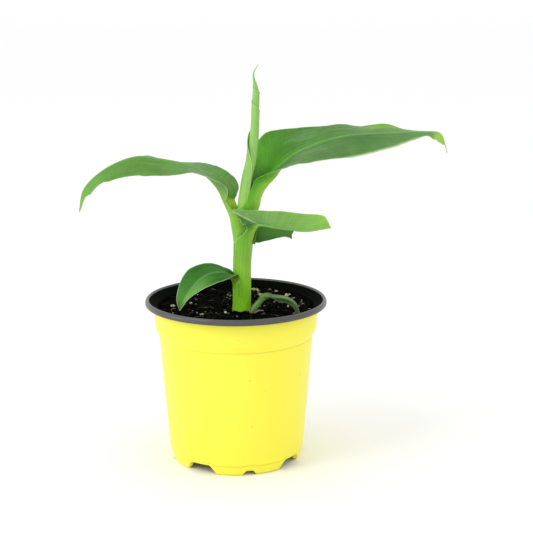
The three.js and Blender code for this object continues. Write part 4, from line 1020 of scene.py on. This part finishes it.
dry_tones = leaf_tones(
    near_top=[(0, (130, 150, 100)), (3, (130, 184, 96)), (11, (112, 172, 70)), (15, (50, 104, 30)),
        (19, (24, 66, 10)), (28, (28, 70, 14)), (34, (62, 104, 48)), (42, (76, 120, 60)), (46, (70, 110, 40)),
        (49, (80, 70, 40))],
    far_top=[(0, (130, 150, 100)), (3, (130, 184, 96)), (11, (112, 172, 70)), (17, (90, 112, 74)),
        (26, (112, 128, 96)), (40, (96, 124, 80)), (49, (80, 70, 40))],
    near_low=[(0, (110, 104, 64)), (2, (130, 160, 100)), (8, (120, 182, 84)), (13, (104, 168, 60)),
        (16, (60, 120, 30)), (20, (30, 84, 14)), (30, (26, 74, 14)), (40, (60, 100, 40)), (49, (80, 70, 40))],
    far_low=[(0, (110, 104, 64)), (2, (130, 160, 100)), (8, (120, 180, 80)), (13, (104, 166, 56)),
        (18, (30, 84, 14)), (34, (30, 78, 20)), (49, (80, 70, 40))],
    rib_top=[(0, (120, 170, 80)), (16, (90, 120, 50)), (49, (110, 140, 84))],
    rib_low=[(0, (120, 150, 90)), (12, (120, 170, 80)), (20, (50, 110, 30)), (49, (60, 90, 40))],
    edge=(104, 90, 62), edge_low=[(0, (96, 84, 58)), (16, (90, 70, 50)), (49, (96, 84, 58))], seed=17)
husk_tones = leaf_tones(
    near_top=BROWN, far_top=BROWN, near_low=[(0, (84, 74, 56)), (5, (110, 100, 78)), (12, (70, 60, 44))],
    far_low=[(0, (84, 74, 56)), (5, (124, 112, 88)), (12, (70, 60, 44))], rib_top=BROWN,
    rib_low=[(0, (70, 60, 44)), (12, (90, 80, 60))], edge=(150, 138, 112), seed=19)

leaf_sheet("left_sheet", LEFT, ["left_leaf"], left_tones, 320, 42, 0.4, 5)
leaf_sheet("right_sheet", RIGHT, ["right_leaf"], right_tones, 360, 46, 0.5, 2)
leaf_sheet("front_sheet", FRONT, ["front_leaf"], front_tones, 460, 46, 0.3, 9)
leaf_sheet("front_back_half", FRONT_BACK, ["front_leaf"], shaded_back_tones, 90, 30, 0.3, 8,
           halves=("far",), span=(59.2, 85.5))
leaf_sheet("low_sheet", LOW, ["low_leaf"], low_tones, 260, 40, 0.3, 13)
leaf_sheet("withered_husk", HUSK, [], husk_tones, 60, 16, 0.5, 21, DRY)
leaf_sheet("second_husk", SECOND_HUSK, [], husk_tones, 60, 16, 0.5, 25, DRY)
leaf_sheet("withered_sheet", WITHERED, ["withered_leaf"], dry_tones, 170, 22, 0.5, 17, DRY)


def make_rolled():
    """The rolled leaf: one sheet wound about one and a third turns, its free edge winding up the outside."""
    rows, turns, wraps = 300, 120, 1.35
    path = route(ROLLED["path"])
    u = np.linspace(0, 1, rows)
    place, along, across, _ = stations(path, u, ROLLED["side"])
    right = np.cross(along, across)
    right *= np.sign(right[:, :1])
    height = place[:, 2]
    radius = track(ROLLED["radius"])(u)
    free = np.radians(track(ROLLED["free_edge"])(height))
    flare = track(ROLLED["flare"])(height)
    turn = np.linspace(0, wraps * 2 * math.pi, turns)
    inward = 1 - 0.09 * turn / (2 * math.pi) + flare[:, None] * np.exp(-((turn / 0.6) ** 2))[None]
    angle = free[:, None] - turn[None]
    ring = place[:, None] + (radius[:, None] * inward)[..., None] * (
        np.cos(angle)[..., None] * across[:, None] + np.sin(angle)[..., None] * right[:, None])
    thick = np.minimum(0.14, radius * 0.032)[:, None] + 0 * turn[None]
    points, faces = closed_sheet(ring, thick, thick)
    shade = mixed(linear(148, 196, 92), linear(138, 186, 96), np.clip((height - 176) / 18, 0, 1))
    shade = mixed(shade, linear(132, 184, 92), np.clip((height - 236) / 14, 0, 1))
    shade = np.broadcast_to(shade[:, None], ring.shape)
    # Painted shade: the second layer, wound inside the first, is darkened.
    shaded_second_layer = np.clip((turn - 5.2) / 0.8, 0, 1)[None] + 0 * angle
    shade = mixed(shade, shade * 0.86, shaded_second_layer)
    shade = shade * (1 + 0.06 * ripple(ring * np.array([1, 1, 0.1]), 1.6, 4))[..., None]
    edge = np.exp(-((turn * radius[:, None]) / 0.35) ** 2)
    outer = mixed(shade, linear(196, 220, 150), edge * 0.8)
    # Painted light: the inner face is a much lighter green than the leaf's own, to make up for the shade
    # inside the roll.
    inner = mixed(linear(186, 236, 92) + 0 * ring, linear(196, 220, 150), edge * 0.5)
    normal = np.cross(np.gradient(ring, axis=0), np.gradient(ring, axis=1))
    outward = np.einsum("ijk,ijk->ij", normal, ring - place[:, None]).mean() > 0
    first, second = (outer, inner) if outward else (inner, outer)
    tint = np.clip(np.concatenate([first.reshape(-1, 3), second.reshape(-1, 3)]), 0, 1)
    coords = np.stack([turn[None] * radius[:, None], height[:, None] + 0 * turn[None]], -1).reshape(-1, 2)
    coords = np.concatenate([coords, coords])
    mesh_piece("rolled_sheet", points, faces, tint, coords, ["rolled_leaf"], STEM)


def make_trunk():
    """The inner column of wrapped sheaths, up to where the stalks part."""
    rows, turns = 130, 96
    z = np.linspace(TRUNK["foot"], TRUNK["top"], rows)
    centre_x, centre_y, wide, deep = (
        track(TRUNK[key])(z) for key in ("centre_x", "centre_y", "wide", "deep"))
    angle = np.arange(turns) / turns * 2 * math.pi
    ridge = np.array([noise.noise(Vector((math.cos(a) * 4.2, math.sin(a) * 4.2, 4.0))) for a in angle])
    swell = 1 + 0.02 * ridge[None]
    places = np.zeros((rows, turns, 3))
    places[..., 0] = centre_x[:, None] + wide[:, None] * swell * np.cos(angle)
    places[..., 1] = centre_y[:, None] + deep[:, None] * swell * np.sin(angle)
    places[..., 2] = z[:, None]
    middles = np.stack([centre_x, centre_y, z], -1)
    flat = np.vstack([places.reshape(-1, 3), middles[0], middles[-1]])
    last = (rows - 1) * turns
    faces = grid_faces(rows, turns, wrap=True)
    faces += [(rows * turns, (j + 1) % turns, j) for j in range(turns)]
    faces += [(rows * turns + 1, last + j, last + (j + 1) % turns) for j in range(turns)]
    # Painted light: the column's greens are lightened to make up for the shade between the sheaths around it.
    tone = mixed(linear(140, 212, 36), linear(156, 214, 78), np.clip((z - 108) / 40, 0, 1))[:, None]
    tone = tone * (1 + 0.12 * ripple(places * np.array([1, 1, 0.06]), 1.2, 2))[..., None]
    tint = np.clip(tone, 0, 1).reshape(-1, 3)
    tint = np.vstack([tint, tint[0], tint[-1]])
    coords = np.stack(np.broadcast_arrays(angle[None] * 6.2, z[:, None]), -1).reshape(-1, 2)
    coords = np.vstack([coords, [0, 0], [0, 0]])
    mesh_piece("trunk_core", flat, faces, tint, coords, ["trunk"], STEM)


make_rolled()
make_trunk()

bpy.context.view_layer.update()
